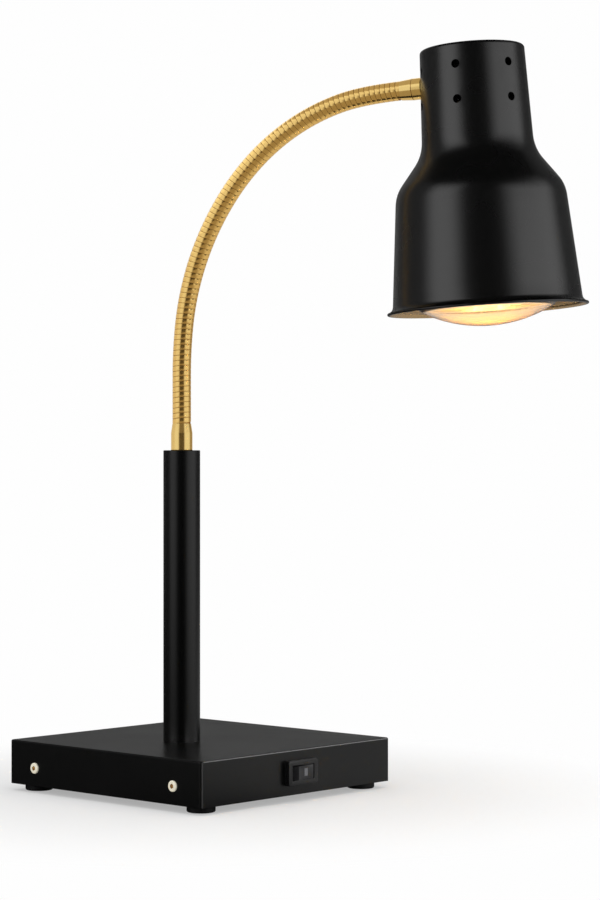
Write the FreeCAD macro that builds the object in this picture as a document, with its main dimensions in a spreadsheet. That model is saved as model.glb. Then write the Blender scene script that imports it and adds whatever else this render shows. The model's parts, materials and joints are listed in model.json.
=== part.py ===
"""Infrared heat therapy lamp: a weighted square base with a rocker switch, a straight pole, a strip-wound
gooseneck and a spun shade round a reflector bulb.

Millimetres, +Z up, floor at z = 0. The switch looks along -Y. The origin is under the centre of the whole
lamp. The neck is a chain of rigid links: each link ends in one round turn, which the socket turned into
the next link holds, as the turns of a wound neck hold each other.
"""
import FreeCAD, Part
import math
import os
import Sketcher
from FreeCAD import Placement, Rotation, Vector

SIZES = {
    # Base: folded cover over a flat tray
    "base_side": 235.0,
    "base_height": 38.0,
    "cover_wall": 1.5,
    "cover_corner": 3.0,
    "cover_edge": 1.4,
    "tray_wall": 1.5,
    "tray_flange": 28.0,
    "tray_end_gap": 2.5,
    "sheet_gap": 0.3,
    "screw_gap": 0.1,
    "ballast_wide": 150.0,
    "ballast_deep": 150.0,
    "ballast_thick": 12.0,
    "ballast_screw_inset": 14.0,
    # Feet
    "foot_height": 6.0,
    "foot_radius": 12.0,
    "foot_round": 1.6,
    "foot_inset": 18.0,
    "foot_recess_radius": 5.0,
    "foot_recess_depth": 3.4,
    # Screws
    "side_screw_inset": 32.6,
    "side_screw_drop": 22.5,
    "side_head_radius": 5.0,
    "side_head_height": 1.5,
    "side_shank_radius": 2.5,
    "side_shank_length": 7.0,
    "small_head_radius": 3.8,
    "small_head_height": 2.2,
    "small_shank_radius": 2.0,
    "foot_shank_length": 6.0,
    "ballast_shank_length": 13.0,
    "holder_shank_length": 8.0,
    "socket_share": 0.45,
    "crown_share": 0.667,
    "cutter_depth": 6.0,
    # Pole
    "pole_offset": 23.0,
    "pole_radius": 16.0,
    "pole_wall": 1.5,
    "pole_height": 252.5,
    "cap_thick": 3.0,
    "cap_round": 0.8,
    "cap_spigot": 12.0,
    "plug_length": 20.0,
    "fit_gap": 0.1,
    "stud_radius": 5.0,
    "stud_bore": 3.5,
    "stud_top": 16.0,
    "stud_tail": 13.0,
    "pole_washer_radius": 20.0,
    "pole_washer_thick": 3.0,
    "nut_radius": 8.6,
    "nut_thick": 5.0,
    # Gooseneck
    "neck_radius": 8.1,
    "neck_bore": 4.5,
    "ball_radius": 8.0,
    "ball_back": 2.1,
    "ball_front": 5.5,
    "socket_gap": 0.3,
    "socket_edge": 2.2,
    "turn_pitch": 4.2,
    "neck_start_run": 59.25,
    "lower_bend_radius": 242.0,
    "lower_bend_angle": 39.0,
    "upper_bend_radius": 184.5,
    "neck_end_run": 9.85,
    "neck_end_rise": 3.4,
    "neck_heading": 22.5,
    "head_roll": 1.0,
    # Brass ferrules at both ends of the gooseneck
    "lower_ferrule_radius": 9.35,
    "lower_ferrule_length": 15.0,
    "upper_ferrule_radius": 9.15,
    "upper_ferrule_length": 11.7,
    "upper_ferrule_taper": 10.8,
    "ferrule_taper": 8.2,
    "ferrule_bore_depth": 12.0,
    "nipple_tail": 6.5,
    "nipple_end": 1.0,
    # Shade, heights above its rim
    "shade_height": 218.75,
    "shade_wall": 1.2,
    "shade_roll": 1.0,
    "shade_top_radius": 43.7,
    "shade_top_round": 3.0,
    "neck_foot_radius": 46.4,
    "neck_foot_height": 143.2,
    "shoulder_hollow": 36.0,
    "shoulder_upper_radius": 53.7,
    "shoulder_upper_height": 122.7,
    "shoulder_lower_radius": 65.4,
    "shoulder_lower_height": 107.3,
    "shoulder_round": 30.0,
    "body_top_radius": 71.4,
    "body_top_height": 92.2,
    "body_foot_radius": 79.0,
    "body_foot_height": 6.8,
    "rim_hollow": 6.0,
    "rim_radius": 84.0,
    "rim_thick": 2.2,
    "entry_drop": 28.6,
    "vent_radius": 3.6,
    "vent_drop": 18.0,
    "vent_spacing": 28.9,
    "vent_turn": 3.2,
    "vent_columns": 6,
    # Holder and its bracket inside the shade's neck
    "washer_radius": 10.0,
    "washer_thick": 2.4,
    "bracket_wall": 1.5,
    "bracket_wide": 22.0,
    "bracket_drop": 14.95,
    "bracket_ear_top": 9.5,
    "bracket_past_axis": 19.0,
    "bracket_bend": 3.0,
    "cable_hole_radius": 4.0,
    "holder_screw_reach": 12.0,
    "holder_radius": 19.0,
    "holder_waist_radius": 17.5,
    "holder_length": 44.0,
    "holder_floor": 12.0,
    "sleeve_gap": 0.3,
    "sleeve_wall": 0.6,
    "sleeve_length": 26.0,
    "contact_radius": 2.0,
    "contact_foot_radius": 5.6,
    "contact_thick": 0.8,
    # Reflector bulb, hung from the holder's floor; heights above the lowest point of its face
    "bulb_drop": 1.6,
    "bulb_length": 173.0,
    "bulb_radius": 62.5,
    "bulb_widest_height": 30.0,
    "bulb_face_radius": 114.0,
    "bulb_edge_radius": 55.5,
    "bulb_edge_height": 14.4,
    "bulb_edge_round": 17.5,
    "bulb_bowl_radius": 44.0,
    "bulb_bowl_height": 88.0,
    "bulb_bowl_round": 120.0,
    "bulb_throat_radius": 20.0,
    "bulb_throat_height": 121.0,
    "bulb_throat_hollow": 70.0,
    "bulb_seal_radius": 12.0,
    "bulb_seal_height": 152.0,
    "bulb_seal_run": 12.0,
    "glass_wall": 1.2,
    "cap_radius": 13.2,
    "cap_thread_depth": 0.7,
    "cap_thread_pitch": 3.6,
    "cap_height": 23.0,
    "cap_sheet": 0.4,
    "insulator_radius": 9.0,
    "insulator_height": 2.2,
    "tip_radius": 4.8,
    "tip_height": 1.0,
    "stem_radius": 5.0,
    "stem_foot_height": 96.0,
    "stem_flare_length": 14.0,
    "stem_short": 2.0,
    "filament_ring_radius": 18.0,
    "filament_wire_radius": 0.8,
    "filament_height": 78.0,
    "lead_radius": 0.6,
    # Switch
    "bezel_wide": 36.5,
    "bezel_tall": 21.0,
    "bezel_proud": 5.2,
    "bezel_corner": 2.0,
    "switch_body_wide": 31.0,
    "switch_body_tall": 17.0,
    "switch_body_deep": 22.0,
    "switch_pivot_depth": 3.0,
    "rocker_swing_radius": 14.5,
    "rocker_half_face": 10.5,
    "rocker_dish_radius": 50.0,
    "rocker_tall": 11.6,
    "rocker_skirt": 4.1,
    "rocker_boss": 2.6,
    "rocker_boss_back": 1.8,
    "rocker_gap": 0.35,
    "rocker_tilt": 7.0,
    "pin_radius": 1.5,
    "pin_reach": 1.5,
    "well_depth": 7.0,
    "well_lip": 1.6,
    "window_wide": 4.8,
    "window_tall": 6.3,
    "window_thick": 1.0,
    "window_offset": 1.5,
    "blade_wide": 6.3,
    "blade_thick": 0.8,
    "blade_length": 8.0,
    "blade_pitch": 9.0,
    # Cord gland in the rear wall, and the terminal block
    "gland_thread_radius": 6.0,
    "gland_flange_radius": 8.6,
    "gland_flange_thick": 3.5,
    "gland_tail": 10.0,
    "gland_nose": 5.0,
    "gland_nut_radius": 8.0,
    "gland_nut_length": 8.5,
    "gland_nut_round": 2.0,
    "gland_lip": 2.4,
    "gland_bore": 3.7,
    "gland_seal_radius": 5.0,
    "locknut_thick": 3.0,
    "block_wide": 18.0,
    "block_long": 30.0,
    "block_tall": 14.0,
    "block_inset": 7.5,
    "block_behind": 55.0,
    "terminal_radius": 2.2,
    "terminal_tall": 1.4,
    "terminal_pitch": 9.0,
}

HINGE_COUNT = 9
TERMINAL_ROWS = 3
THREAD_TURNS = 5
VENT_ROWS = 2

document = FreeCAD.newDocument("heat_lamp")
sheet = document.addObject("Spreadsheet::Sheet", "Sizes")
for row, (alias, amount) in enumerate(SIZES.items(), start=1):
    sheet.set(f"A{row}", alias)
    sheet.set(f"B{row}", str(amount))
    sheet.setAlias(f"B{row}", alias)
document.recompute()


class Size:
    """A length or angle worked out from the sheet: its value now, and the expression that gives it."""

    def __init__(self, value, text):
        self.value = value
        self.text = text

    def __add__(self, other):
        other = as_size(other)
        return Size(self.value + other.value, f"({self.text} + {other.text})")

    def __sub__(self, other):
        other = as_size(other)
        return Size(self.value - other.value, f"({self.text} - {other.text})")

    def __mul__(self, other):
        other = as_size(other)
        return Size(self.value * other.value, f"({self.text} * {other.text})")

    def __truediv__(self, other):
        other = as_size(other)
        return Size(self.value / other.value, f"({self.text} / {other.text})")

    def __radd__(self, other):
        return as_size(other) + self

    def __rsub__(self, other):
        return as_size(other) - self

    def __rmul__(self, other):
        return as_size(other) * self

    def __neg__(self):
        return as_size(0) - self

    def __float__(self):
        return self.value


def as_size(amount):
    if isinstance(amount, Size):
        return amount
    return Size(float(amount), f"({float(amount)!r})")


def size(alias):
    return Size(float(sheet.get(alias)), f"Sizes.{alias}")


def root(amount):
    return Size(math.sqrt(amount.value), f"sqrt({amount.text})")


def bind(target, path, amount):
    target.setExpression(path, as_size(amount).text)


# ---------------------------------------------------------------------------------------------
# Building blocks
# ---------------------------------------------------------------------------------------------

finished = []


def finish(node, shape_object, placement=None):
    """Gives a finished piece its name and its place, and lists it for export."""
    shape_object.Label = node
    if placement is not None:
        shape_object.Placement = placement
    finished.append(shape_object)
    return shape_object


def new_body(name):
    return document.addObject("PartDesign::Body", name)


def new_sketch(body, role, name):
    sketch = body.newObject("Sketcher::SketchObject", name)
    plane = [feature for feature in body.Origin.OriginFeatures if feature.Role == role][0]
    sketch.AttachmentSupport = [(plane, "")]
    sketch.MapMode = "FlatFace"
    return sketch


def pin_point(sketch, geometry, end, across, up):
    """Fixes one point of a sketch at two bound distances from the sketch's origin."""
    for kind, amount in (("DistanceX", across), ("DistanceY", up)):
        amount = as_size(amount)
        if amount.value == 0:
            axis = -2 if kind == "DistanceX" else -1
            sketch.addConstraint(Sketcher.Constraint("PointOnObject", geometry, end, axis))
            continue
        index = sketch.addConstraint(Sketcher.Constraint(kind, -1, 1, geometry, end, amount.value))
        bind(sketch, f"Constraints[{index}]", amount)


def arc_between(start, end, radius):
    """The short arc from start to end. Its centre lies left for a positive radius, right for a negative."""
    chord = end - start
    middle = (start + end) * 0.5
    rise = math.sqrt(max(radius * radius - chord.Length ** 2 / 4, 0.0))
    left = Vector(-chord.y, chord.x, 0).normalize()
    centre = middle + left * math.copysign(rise, radius)
    circle = Part.Circle(centre, Vector(0, 0, 1), abs(radius))
    first, last = (start, end) if radius > 0 else (end, start)
    first_angle = math.atan2(first.y - centre.y, first.x - centre.x)
    last_angle = math.atan2(last.y - centre.y, last.x - centre.x)
    return Part.ArcOfCircle(circle, first_angle, last_angle)


def outline(sketch, corners):
    """Draws a closed outline. A corner is (x, y), or (x, y, radius) where an arc runs on from it."""
    count = len(corners)
    points = [Vector(float(corner[0]), float(corner[1]), 0) for corner in corners]
    starts = []
    ends = []
    for index, corner in enumerate(corners):
        here = points[index]
        following = points[(index + 1) % count]
        if len(corner) == 2:
            sketch.addGeometry(Part.LineSegment(here, following), False)
            starts.append(1)
            ends.append(2)
            continue
        bend = as_size(corner[2])
        sketch.addGeometry(arc_between(here, following, bend.value), False)
        forward = bend.value > 0
        starts.append(1 if forward else 2)
        ends.append(2 if forward else 1)
    for index in range(count):
        following = (index + 1) % count
        joint = Sketcher.Constraint("Coincident", index, ends[index], following, starts[following])
        sketch.addConstraint(joint)
    for index, corner in enumerate(corners):
        pin_point(sketch, index, starts[index], corner[0], corner[1])
        if len(corner) == 3:
            bend = as_size(corner[2])
            turn = bend if bend.value > 0 else -bend
            rule = sketch.addConstraint(Sketcher.Constraint("Radius", index, turn.value))
            bind(sketch, f"Constraints[{rule}]", turn)


def turned_body(name, corners):
    """A piece turned about Z from an outline given as (radius, height) corners."""
    body = new_body(name)
    sketch = new_sketch(body, "XZ_Plane", f"{name}_outline")
    outline(sketch, corners)
    turning = body.newObject("PartDesign::Revolution", f"{name}_turning")
    turning.Profile = sketch
    turning.ReferenceAxis = (sketch, ["V_Axis"])
    turning.Angle = 360
    sketch.Visibility = False
    return body


def padded_body(name, role, corners, length):
    """A piece of constant section: the outline on one origin plane, padded along that plane's normal."""
    body = new_body(name)
    sketch = new_sketch(body, role, f"{name}_outline")
    outline(sketch, corners)
    pad = body.newObject("PartDesign::Pad", f"{name}_pad")
    pad.Profile = sketch
    bind(pad, "Length", length)
    sketch.Visibility = False
    return body


def rectangle(wide, tall, corner):
    """A rounded rectangle about the origin, walked counter-clockwise."""
    half_wide = as_size(wide) / 2
    half_tall = as_size(tall) / 2
    return [
        (half_wide - corner, -half_tall, corner),
        (half_wide, corner - half_tall),
        (half_wide, half_tall - corner, corner),
        (half_wide - corner, half_tall),
        (corner - half_wide, half_tall, corner),
        (-half_wide, half_tall - corner),
        (-half_wide, corner - half_tall, corner),
        (corner - half_wide, -half_tall),
    ]


def put(solid, at, axis):
    """Binds a primitive's position to sizes and turns its Z axis to the given direction."""
    solid.Placement = Placement(Vector(0, 0, 0), Rotation(Vector(0, 0, 1), Vector(*axis)))
    for letter, amount in zip("xyz", at):
        bind(solid, f"Placement.Base.{letter}", amount)


def rod(name, radius, length, at=(0, 0, 0), axis=(0, 0, 1)):
    solid = document.addObject("Part::Cylinder", name)
    bind(solid, "Radius", radius)
    bind(solid, "Height", length)
    put(solid, at, axis)
    return solid


def block(name, wide, deep, tall, at):
    """A box given by its sizes and by the middle of its lower face."""
    solid = document.addObject("Part::Box", name)
    bind(solid, "Length", wide)
    bind(solid, "Width", deep)
    bind(solid, "Height", tall)
    put(solid, (at[0] - as_size(wide) / 2, at[1] - as_size(deep) / 2, at[2]), (0, 0, 1))
    return solid


def hexagon(name, radius, length, at=(0, 0, 0), axis=(0, 0, 1)):
    solid = document.addObject("Part::Prism", name)
    solid.Polygon = 6
    bind(solid, "Circumradius", radius)
    bind(solid, "Height", length)
    put(solid, at, axis)
    return solid


def cut(name, base, tools):
    """The base less all the tools."""
    tool = tools[0]
    if len(tools) > 1:
        tool = document.addObject("Part::MultiFuse", f"{name}_tools")
        tool.Shapes = tools
    result = document.addObject("Part::Cut", name)
    result.Base = base
    result.Tool = tool
    return result


def fuse(name, pieces):
    result = document.addObject("Part::MultiFuse", name)
    result.Shapes = pieces
    return result


def group(name, pieces):
    result = document.addObject("Part::Compound", name)
    result.Links = pieces
    return result


def cap_screw(name, head_radius, head_height, shank_radius, shank_length):
    """A button-head screw with a hex socket: shank down from z = 0, head up."""
    crown = head_height * size("crown_share")
    body = turned_body(f"{name}_blank", [
        (0, -shank_length),
        (shank_radius, -shank_length),
        (shank_radius, 0),
        (head_radius, 0),
        (head_radius, head_height - crown),
        (head_radius - crown, head_height),
        (0, head_height),
    ])
    socket = hexagon(f"{name}_socket", shank_radius * 2 * size("socket_share"), crown,
                     (0, 0, head_height - crown))
    return cut(name, body, [socket])


def sleeve(name, outer, inner, length):
    """A plain ring or bush, from z = 0 up."""
    bore = rod(f"{name}_bore", inner, length)
    return cut(name, rod(f"{name}_blank", outer, length), [bore])


def nut(name, radius, bore, thick):
    """A hexagon nut from z = 0 up."""
    return cut(name, hexagon(f"{name}_blank", radius, thick), [rod(f"{name}_bore", bore, thick)])


# ---------------------------------------------------------------------------------------------
# Where things are: the floor point under the base's centre is (0, 0) until the last shift
# ---------------------------------------------------------------------------------------------

half_base = size("base_side") / 2
base_top = size("foot_height") + size("base_height")
pole_top = base_top + size("pole_height")
heading = math.radians(size("neck_heading").value)
neck_side = Vector(math.cos(heading), math.sin(heading), 0)
neck_out = Vector(math.sin(heading), -math.cos(heading), 0)


def arc_length(radius, angle):
    return radius.value * math.radians(angle)


upper_bend_angle = 90 - size("lower_bend_angle").value - size("neck_end_rise").value
lower_arc = arc_length(size("lower_bend_radius"), size("lower_bend_angle").value)
upper_arc = arc_length(size("upper_bend_radius"), upper_bend_angle)
start_run = size("neck_start_run").value
link_length = (start_run + lower_arc + upper_arc) / HINGE_COUNT


def lean_at(distance):
    """How far the bent neck leans from upright, in degrees, at a distance along it."""
    lower_share = min(max(distance - start_run, 0), lower_arc) / lower_arc
    upper_share = min(max(distance - start_run - lower_arc, 0), upper_arc) / upper_arc
    return lower_share * size("lower_bend_angle").value + upper_share * upper_bend_angle


def neck_direction(lean):
    angle = math.radians(lean)
    return neck_out * math.sin(angle) + Vector(0, 0, math.cos(angle))


def frame_at(point, lean):
    """A frame whose Z runs along the neck and whose Y lies across the plane that the neck bends in."""
    along = neck_direction(lean)
    across = neck_side
    return Placement(point, Rotation(across.cross(along), across, along, "ZYX"))


neck_start = Vector(-size("pole_offset").value, 0, pole_top.value)
neck_start += Vector(0, 0, size("lower_ferrule_length").value + size("ferrule_taper").value)
hinges = [neck_start + Vector(0, 0, link_length / 2)]
leans = [0.0]
for number in range(1, HINGE_COUNT + 1):
    leans.append(lean_at(number * link_length))
    if number < HINGE_COUNT:
        hinges.append(hinges[-1] + neck_direction(leans[-1]) * link_length)
tip_length = link_length / 2 + size("neck_end_run").value
neck_end = hinges[-1] + neck_direction(leans[-1]) * tip_length

# The head's frame: X back along the upper ferrule, Z up the shade's axis, its origin where they cross
top_cone_slope = (size("neck_foot_radius") - size("shade_top_radius")) / (
    size("shade_height") - size("shade_top_round") - size("neck_foot_height"))
entry_radius = size("shade_top_radius") + top_cone_slope * (size("entry_drop") - size("shade_top_round"))
ferrule_reach = size("upper_ferrule_taper").value + size("upper_ferrule_length").value
head_origin = neck_end + neck_direction(leans[-1]) * (ferrule_reach + entry_radius.value)
head_back = -neck_direction(leans[-1])
head_across = neck_side * -1
head = Placement(head_origin, Rotation(head_back, head_across, head_back.cross(head_across), "XZY"))
head = head * Placement(Vector(0, 0, 0), Rotation(Vector(-1, 0, 0), size("head_roll").value))
rim_level = size("entry_drop") - size("shade_height")
rim_centre = head.multVec(Vector(0, 0, rim_level.value))

gland_reach = size("gland_flange_thick") + size("sheet_gap") + size("gland_nut_length")
left_edge = -half_base.value - size("side_head_height").value
right_edge = rim_centre.x + size("rim_radius").value
front_edge = rim_centre.y - size("rim_radius").value
rear_edge = half_base.value + gland_reach.value
centre_shift = Placement(Vector(-(left_edge + right_edge) / 2, -(front_edge + rear_edge) / 2, 0), Rotation())


def on_base(x=0.0, y=0.0, z=0.0, rotation=None):
    """A place given from the floor point under the base's centre."""
    spot = Vector(float(x), float(y), float(z))
    return centre_shift * Placement(spot, rotation or Rotation())


def in_head(x=0.0, y=0.0, z=0.0, rotation=None):
    """A place given in the head's frame."""
    spot = Vector(float(x), float(y), float(z))
    return centre_shift * head * Placement(spot, rotation or Rotation())


FACING_LEFT = Rotation(Vector(0, 0, 1), Vector(-1, 0, 0))
FACING_RIGHT = Rotation(Vector(0, 0, 1), Vector(1, 0, 0))
FACING_REAR = Rotation(Vector(0, 0, 1), Vector(0, 1, 0))
UPSIDE_DOWN = Rotation(Vector(1, 0, 0), 180)

# ---------------------------------------------------------------------------------------------
# Base
# ---------------------------------------------------------------------------------------------

screw_height = size("base_height") - size("side_screw_drop")
screw_row = half_base - size("side_screw_inset")
mid_height = size("base_height") / 2
foot_row = half_base - size("foot_inset")
ballast_column = size("ballast_wide") / 2 - size("ballast_screw_inset")
ballast_row = size("ballast_deep") / 2 - size("ballast_screw_inset")
CORNERS = ((-1, -1), (1, -1), (1, 1), (-1, 1))


def base_cover():
    """Folded and welded cover: an open box with its mouth down."""
    body = padded_body("cover_shell", "XY_Plane",
                       rectangle(size("base_side"), size("base_side"), size("cover_corner")),
                       size("base_height"))
    pad = body.Tip
    document.recompute()
    top_edges = [f"Edge{index}" for index, edge in enumerate(pad.Shape.Edges, start=1)
                 if edge.BoundBox.ZMin > size("base_height").value - 0.01]
    rounding = body.newObject("PartDesign::Fillet", "cover_rounding")
    rounding.Base = (pad, top_edges)
    bind(rounding, "Radius", size("cover_edge"))
    hollow = new_sketch(body, "XY_Plane", "cover_hollow_outline")
    inner_side = size("base_side") - 2 * size("cover_wall")
    outline(hollow, rectangle(inner_side, inner_side, size("cover_corner") - size("cover_wall")))
    pocket = body.newObject("PartDesign::Pocket", "cover_hollow")
    pocket.Profile = hollow
    pocket.Reversed = True
    bind(pocket, "Length", size("base_height") - size("cover_wall"))
    hollow.Visibility = False
    opening_wide = size("switch_body_wide") + 2 * size("sheet_gap")
    opening_tall = size("switch_body_tall") + 2 * size("sheet_gap")
    depth = size("cutter_depth")
    tools = [
        block("switch_opening", opening_wide, depth, opening_tall,
              (0, -half_base, mid_height - opening_tall / 2)),
        rod("gland_opening", size("gland_thread_radius") + size("screw_gap"), depth,
            (0, half_base - depth / 2, mid_height), (0, 1, 0)),
        rod("stud_opening", size("stud_radius") + size("screw_gap"), depth,
            (-size("pole_offset"), 0, size("base_height") - depth / 2)),
    ]
    for side, row in CORNERS:
        tools.append(rod("side_screw_opening", size("side_shank_radius") + size("screw_gap"), depth,
                         (side * half_base - depth / 2, row * screw_row, screw_height), (1, 0, 0)))
    finish("base_cover", cut("base_cover", body, tools), on_base(z=size("foot_height")))


def base_tray():
    """Flat tray under the cover, with a flange up each side for the side screws."""
    outer = half_base - size("cover_wall") - size("sheet_gap")
    inner = outer - size("tray_wall")
    length = size("base_side") - 2 * (size("cover_wall") + size("tray_end_gap"))
    body = padded_body("tray_sheet", "XZ_Plane", [
        (-outer, 0), (outer, 0), (outer, size("tray_flange")), (inner, size("tray_flange")),
        (inner, size("tray_wall")), (-inner, size("tray_wall")), (-inner, size("tray_flange")),
        (-outer, size("tray_flange")),
    ], length)
    bind(body, "Placement.Base.y", length / 2)
    depth = size("cutter_depth")
    tools = []
    for side, row in CORNERS:
        tools.append(rod("tray_flange_hole", size("side_shank_radius") + size("screw_gap"), depth,
                         (side * outer - depth / 2, row * screw_row, screw_height), (1, 0, 0)))
        tools.append(rod("tray_foot_hole", size("small_shank_radius") + size("screw_gap"), depth,
                         (side * foot_row, row * foot_row, -depth / 2)))
        tools.append(rod("tray_ballast_hole", size("small_shank_radius") + size("screw_gap"), depth,
                         (side * ballast_column, row * ballast_row, -depth / 2)))
    finish("base_tray", cut("base_tray", body, tools), on_base(z=size("foot_height")))


def ballast():
    """Steel slab that keeps the lamp from tipping, screwed down to the tray."""
    slab = block("ballast_slab", size("ballast_wide"), size("ballast_deep"), size("ballast_thick"), (0, 0, 0))
    holes = [rod("ballast_hole", size("small_shank_radius") + size("screw_gap"), size("ballast_thick"),
                 (side * ballast_column, row * ballast_row, 0)) for side, row in CORNERS]
    floor = size("foot_height") + size("tray_wall")
    finish("ballast_plate", cut("ballast_plate", slab, holes), on_base(z=floor))
    screws = []
    for number, (side, row) in enumerate(CORNERS, start=1):
        screw = cap_screw(f"ballast_screw_{number}", size("small_head_radius"), size("small_head_height"),
                          size("small_shank_radius"), size("ballast_shank_length"))
        screw.Placement = Placement(Vector(side * float(ballast_column), row * float(ballast_row), 0),
                                    Rotation())
        screws.append(screw)
    finish("ballast_screws", group("ballast_screws", screws), on_base(z=floor + size("ballast_thick")))


def feet():
    """Four rubber feet, each with a recess for the screw that holds it."""
    pads = []
    screws = []
    for number, (side, row) in enumerate(CORNERS, start=1):
        spot = Vector(side * float(foot_row), row * float(foot_row), 0)
        hole = size("small_shank_radius") + size("screw_gap")
        foot = turned_body(f"foot_{number}", [
            (size("foot_recess_radius"), 0),
            (size("foot_radius") - size("foot_round"), 0, size("foot_round")),
            (size("foot_radius"), size("foot_round")),
            (size("foot_radius"), size("foot_height")),
            (hole, size("foot_height")),
            (hole, size("foot_recess_depth")),
            (size("foot_recess_radius"), size("foot_recess_depth")),
        ])
        foot.Placement = Placement(spot, Rotation())
        pads.append(foot)
        screw = cap_screw(f"foot_screw_{number}", size("small_head_radius"), size("small_head_height"),
                          size("small_shank_radius"), size("foot_shank_length"))
        head_face = Vector(spot.x, spot.y, size("foot_recess_depth").value)
        screw.Placement = Placement(head_face, UPSIDE_DOWN)
        screws.append(screw)
    finish("rubber_feet", group("rubber_feet", pads), on_base())
    finish("foot_screws", group("foot_screws", screws), on_base())


def side_screws():
    """Brass button-head screws that hold the cover to the tray, two on each side."""
    screws = []
    for number, (side, row) in enumerate(CORNERS, start=1):
        screw = cap_screw(f"side_screw_{number}", size("side_head_radius"), size("side_head_height"),
                          size("side_shank_radius"), size("side_shank_length"))
        spot = Vector(side * float(half_base), row * float(screw_row), float(screw_height))
        screw.Placement = Placement(spot, FACING_RIGHT if side > 0 else FACING_LEFT)
        screws.append(screw)
    finish("side_screws", group("side_screws", screws), on_base(z=size("foot_height")))


def cord_gland():
    """Cable gland in the rear wall: body, rubber seal, dome nut and locknut, bored for the supply cord."""
    wall = size("cover_wall")
    bore = size("gland_bore")
    thread = size("gland_thread_radius")
    flange = hexagon("gland_flange", size("gland_flange_radius"), size("gland_flange_thick"))
    tail = rod("gland_thread", thread, size("gland_tail"), (0, 0, -size("gland_tail")))
    nose = rod("gland_nose", thread, size("gland_nose"), (0, 0, size("gland_flange_thick")))
    whole = size("gland_tail") + size("gland_flange_thick") + size("gland_nose")
    bore_tool = rod("gland_body_bore", bore, whole, (0, 0, -size("gland_tail")))
    seat = rod("gland_seal_seat", size("gland_seal_radius") + size("screw_gap"), size("gland_nose"),
               (0, 0, size("gland_flange_thick")))
    body = cut("gland_body", fuse("gland_blank", [flange, tail, nose]), [bore_tool, seat])
    rear = {"x": 0, "z": base_top - mid_height, "rotation": FACING_REAR}
    finish("gland_body", body, on_base(y=half_base, **rear))
    seal = sleeve("gland_seal", size("gland_seal_radius"), bore, size("gland_nose"))
    finish("gland_seal", seal, on_base(y=half_base + size("gland_flange_thick"), **rear))
    outer = size("gland_nut_radius")
    inner = thread + size("screw_gap")
    length = size("gland_nut_length")
    dome = turned_body("gland_dome", [
        (inner, 0),
        (outer, 0),
        (outer, length - size("gland_nut_round"), size("gland_nut_round")),
        (outer - size("gland_nut_round"), length),
        (bore, length),
        (bore, length - size("gland_lip")),
        (inner, length - size("gland_lip")),
    ])
    gap = size("gland_flange_thick") + size("sheet_gap")
    dome_nut = document.addObject("Part::Common", "gland_dome_nut")
    dome_nut.Base = dome
    dome_nut.Tool = hexagon("gland_dome_flats", size("gland_flange_radius"), length)
    finish("gland_dome_nut", dome_nut, on_base(y=half_base + gap, **rear))
    locknut = nut("gland_locknut", size("gland_flange_radius"), thread + size("screw_gap"),
                  size("locknut_thick"))
    finish("gland_locknut", locknut, on_base(y=half_base - wall - size("locknut_thick"), **rear))


def terminal_block():
    """Terminal block on the tray where the supply cord and the neck's wires meet."""
    case = block("terminal_case", size("block_wide"), size("block_long"), size("block_tall"), (0, 0, 0))
    beside_ballast = size("ballast_wide") / 2 + size("block_inset") + size("block_wide") / 2
    place = on_base(beside_ballast, size("block_behind"),
                    size("foot_height") + size("tray_wall"))
    heads = []
    wells = []
    for row in range(TERMINAL_ROWS):
        for side in (-1, 1):
            spot = (side * size("block_wide") / 4, (row - 1) * size("terminal_pitch"),
                    size("block_tall") - size("terminal_tall"))
            heads.append(rod("terminal_screw", size("terminal_radius"), size("terminal_tall"), spot))
            wells.append(rod("terminal_well", size("terminal_radius") + size("screw_gap"),
                             size("terminal_tall"), spot))
    finish("terminal_block", cut("terminal_block", case, wells), place)
    finish("terminal_screws", group("terminal_screws", heads), place)


# ---------------------------------------------------------------------------------------------
# Rocker switch in the front wall, drawn in (x, y) with its pivot at the origin and -Y outward
# ---------------------------------------------------------------------------------------------

bezel_face = size("switch_pivot_depth") + size("bezel_proud")
switch_level = base_top - mid_height
pivot_y = size("switch_pivot_depth") - half_base


def swing_point(depth):
    """How far the rocker's curved end lies from its middle at a given height over the pivot."""
    return root(size("rocker_swing_radius") * size("rocker_swing_radius") - depth * depth)


def rocker_blank(tall):
    """The rocker's section, padded upright. Its curved ends turn about the pivot."""
    half_face = size("rocker_half_face")
    face_depth = root(size("rocker_swing_radius") * size("rocker_swing_radius") - half_face * half_face)
    skirt = size("rocker_skirt")
    boss = size("rocker_boss")
    reach = swing_point(skirt)
    swing = size("rocker_swing_radius")
    body = padded_body("rocker_blank", "XY_Plane", [
        (-half_face, -face_depth, -size("rocker_dish_radius")),
        (half_face, -face_depth, swing),
        (reach, -skirt),
        (boss, -(skirt / 2)),
        (boss, size("rocker_boss_back")),
        (-boss, size("rocker_boss_back")),
        (-boss, -(skirt / 2)),
        (-reach, -skirt, swing),
    ], tall)
    bind(body, "Placement.Base.z", -(tall / 2))
    return body


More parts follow.
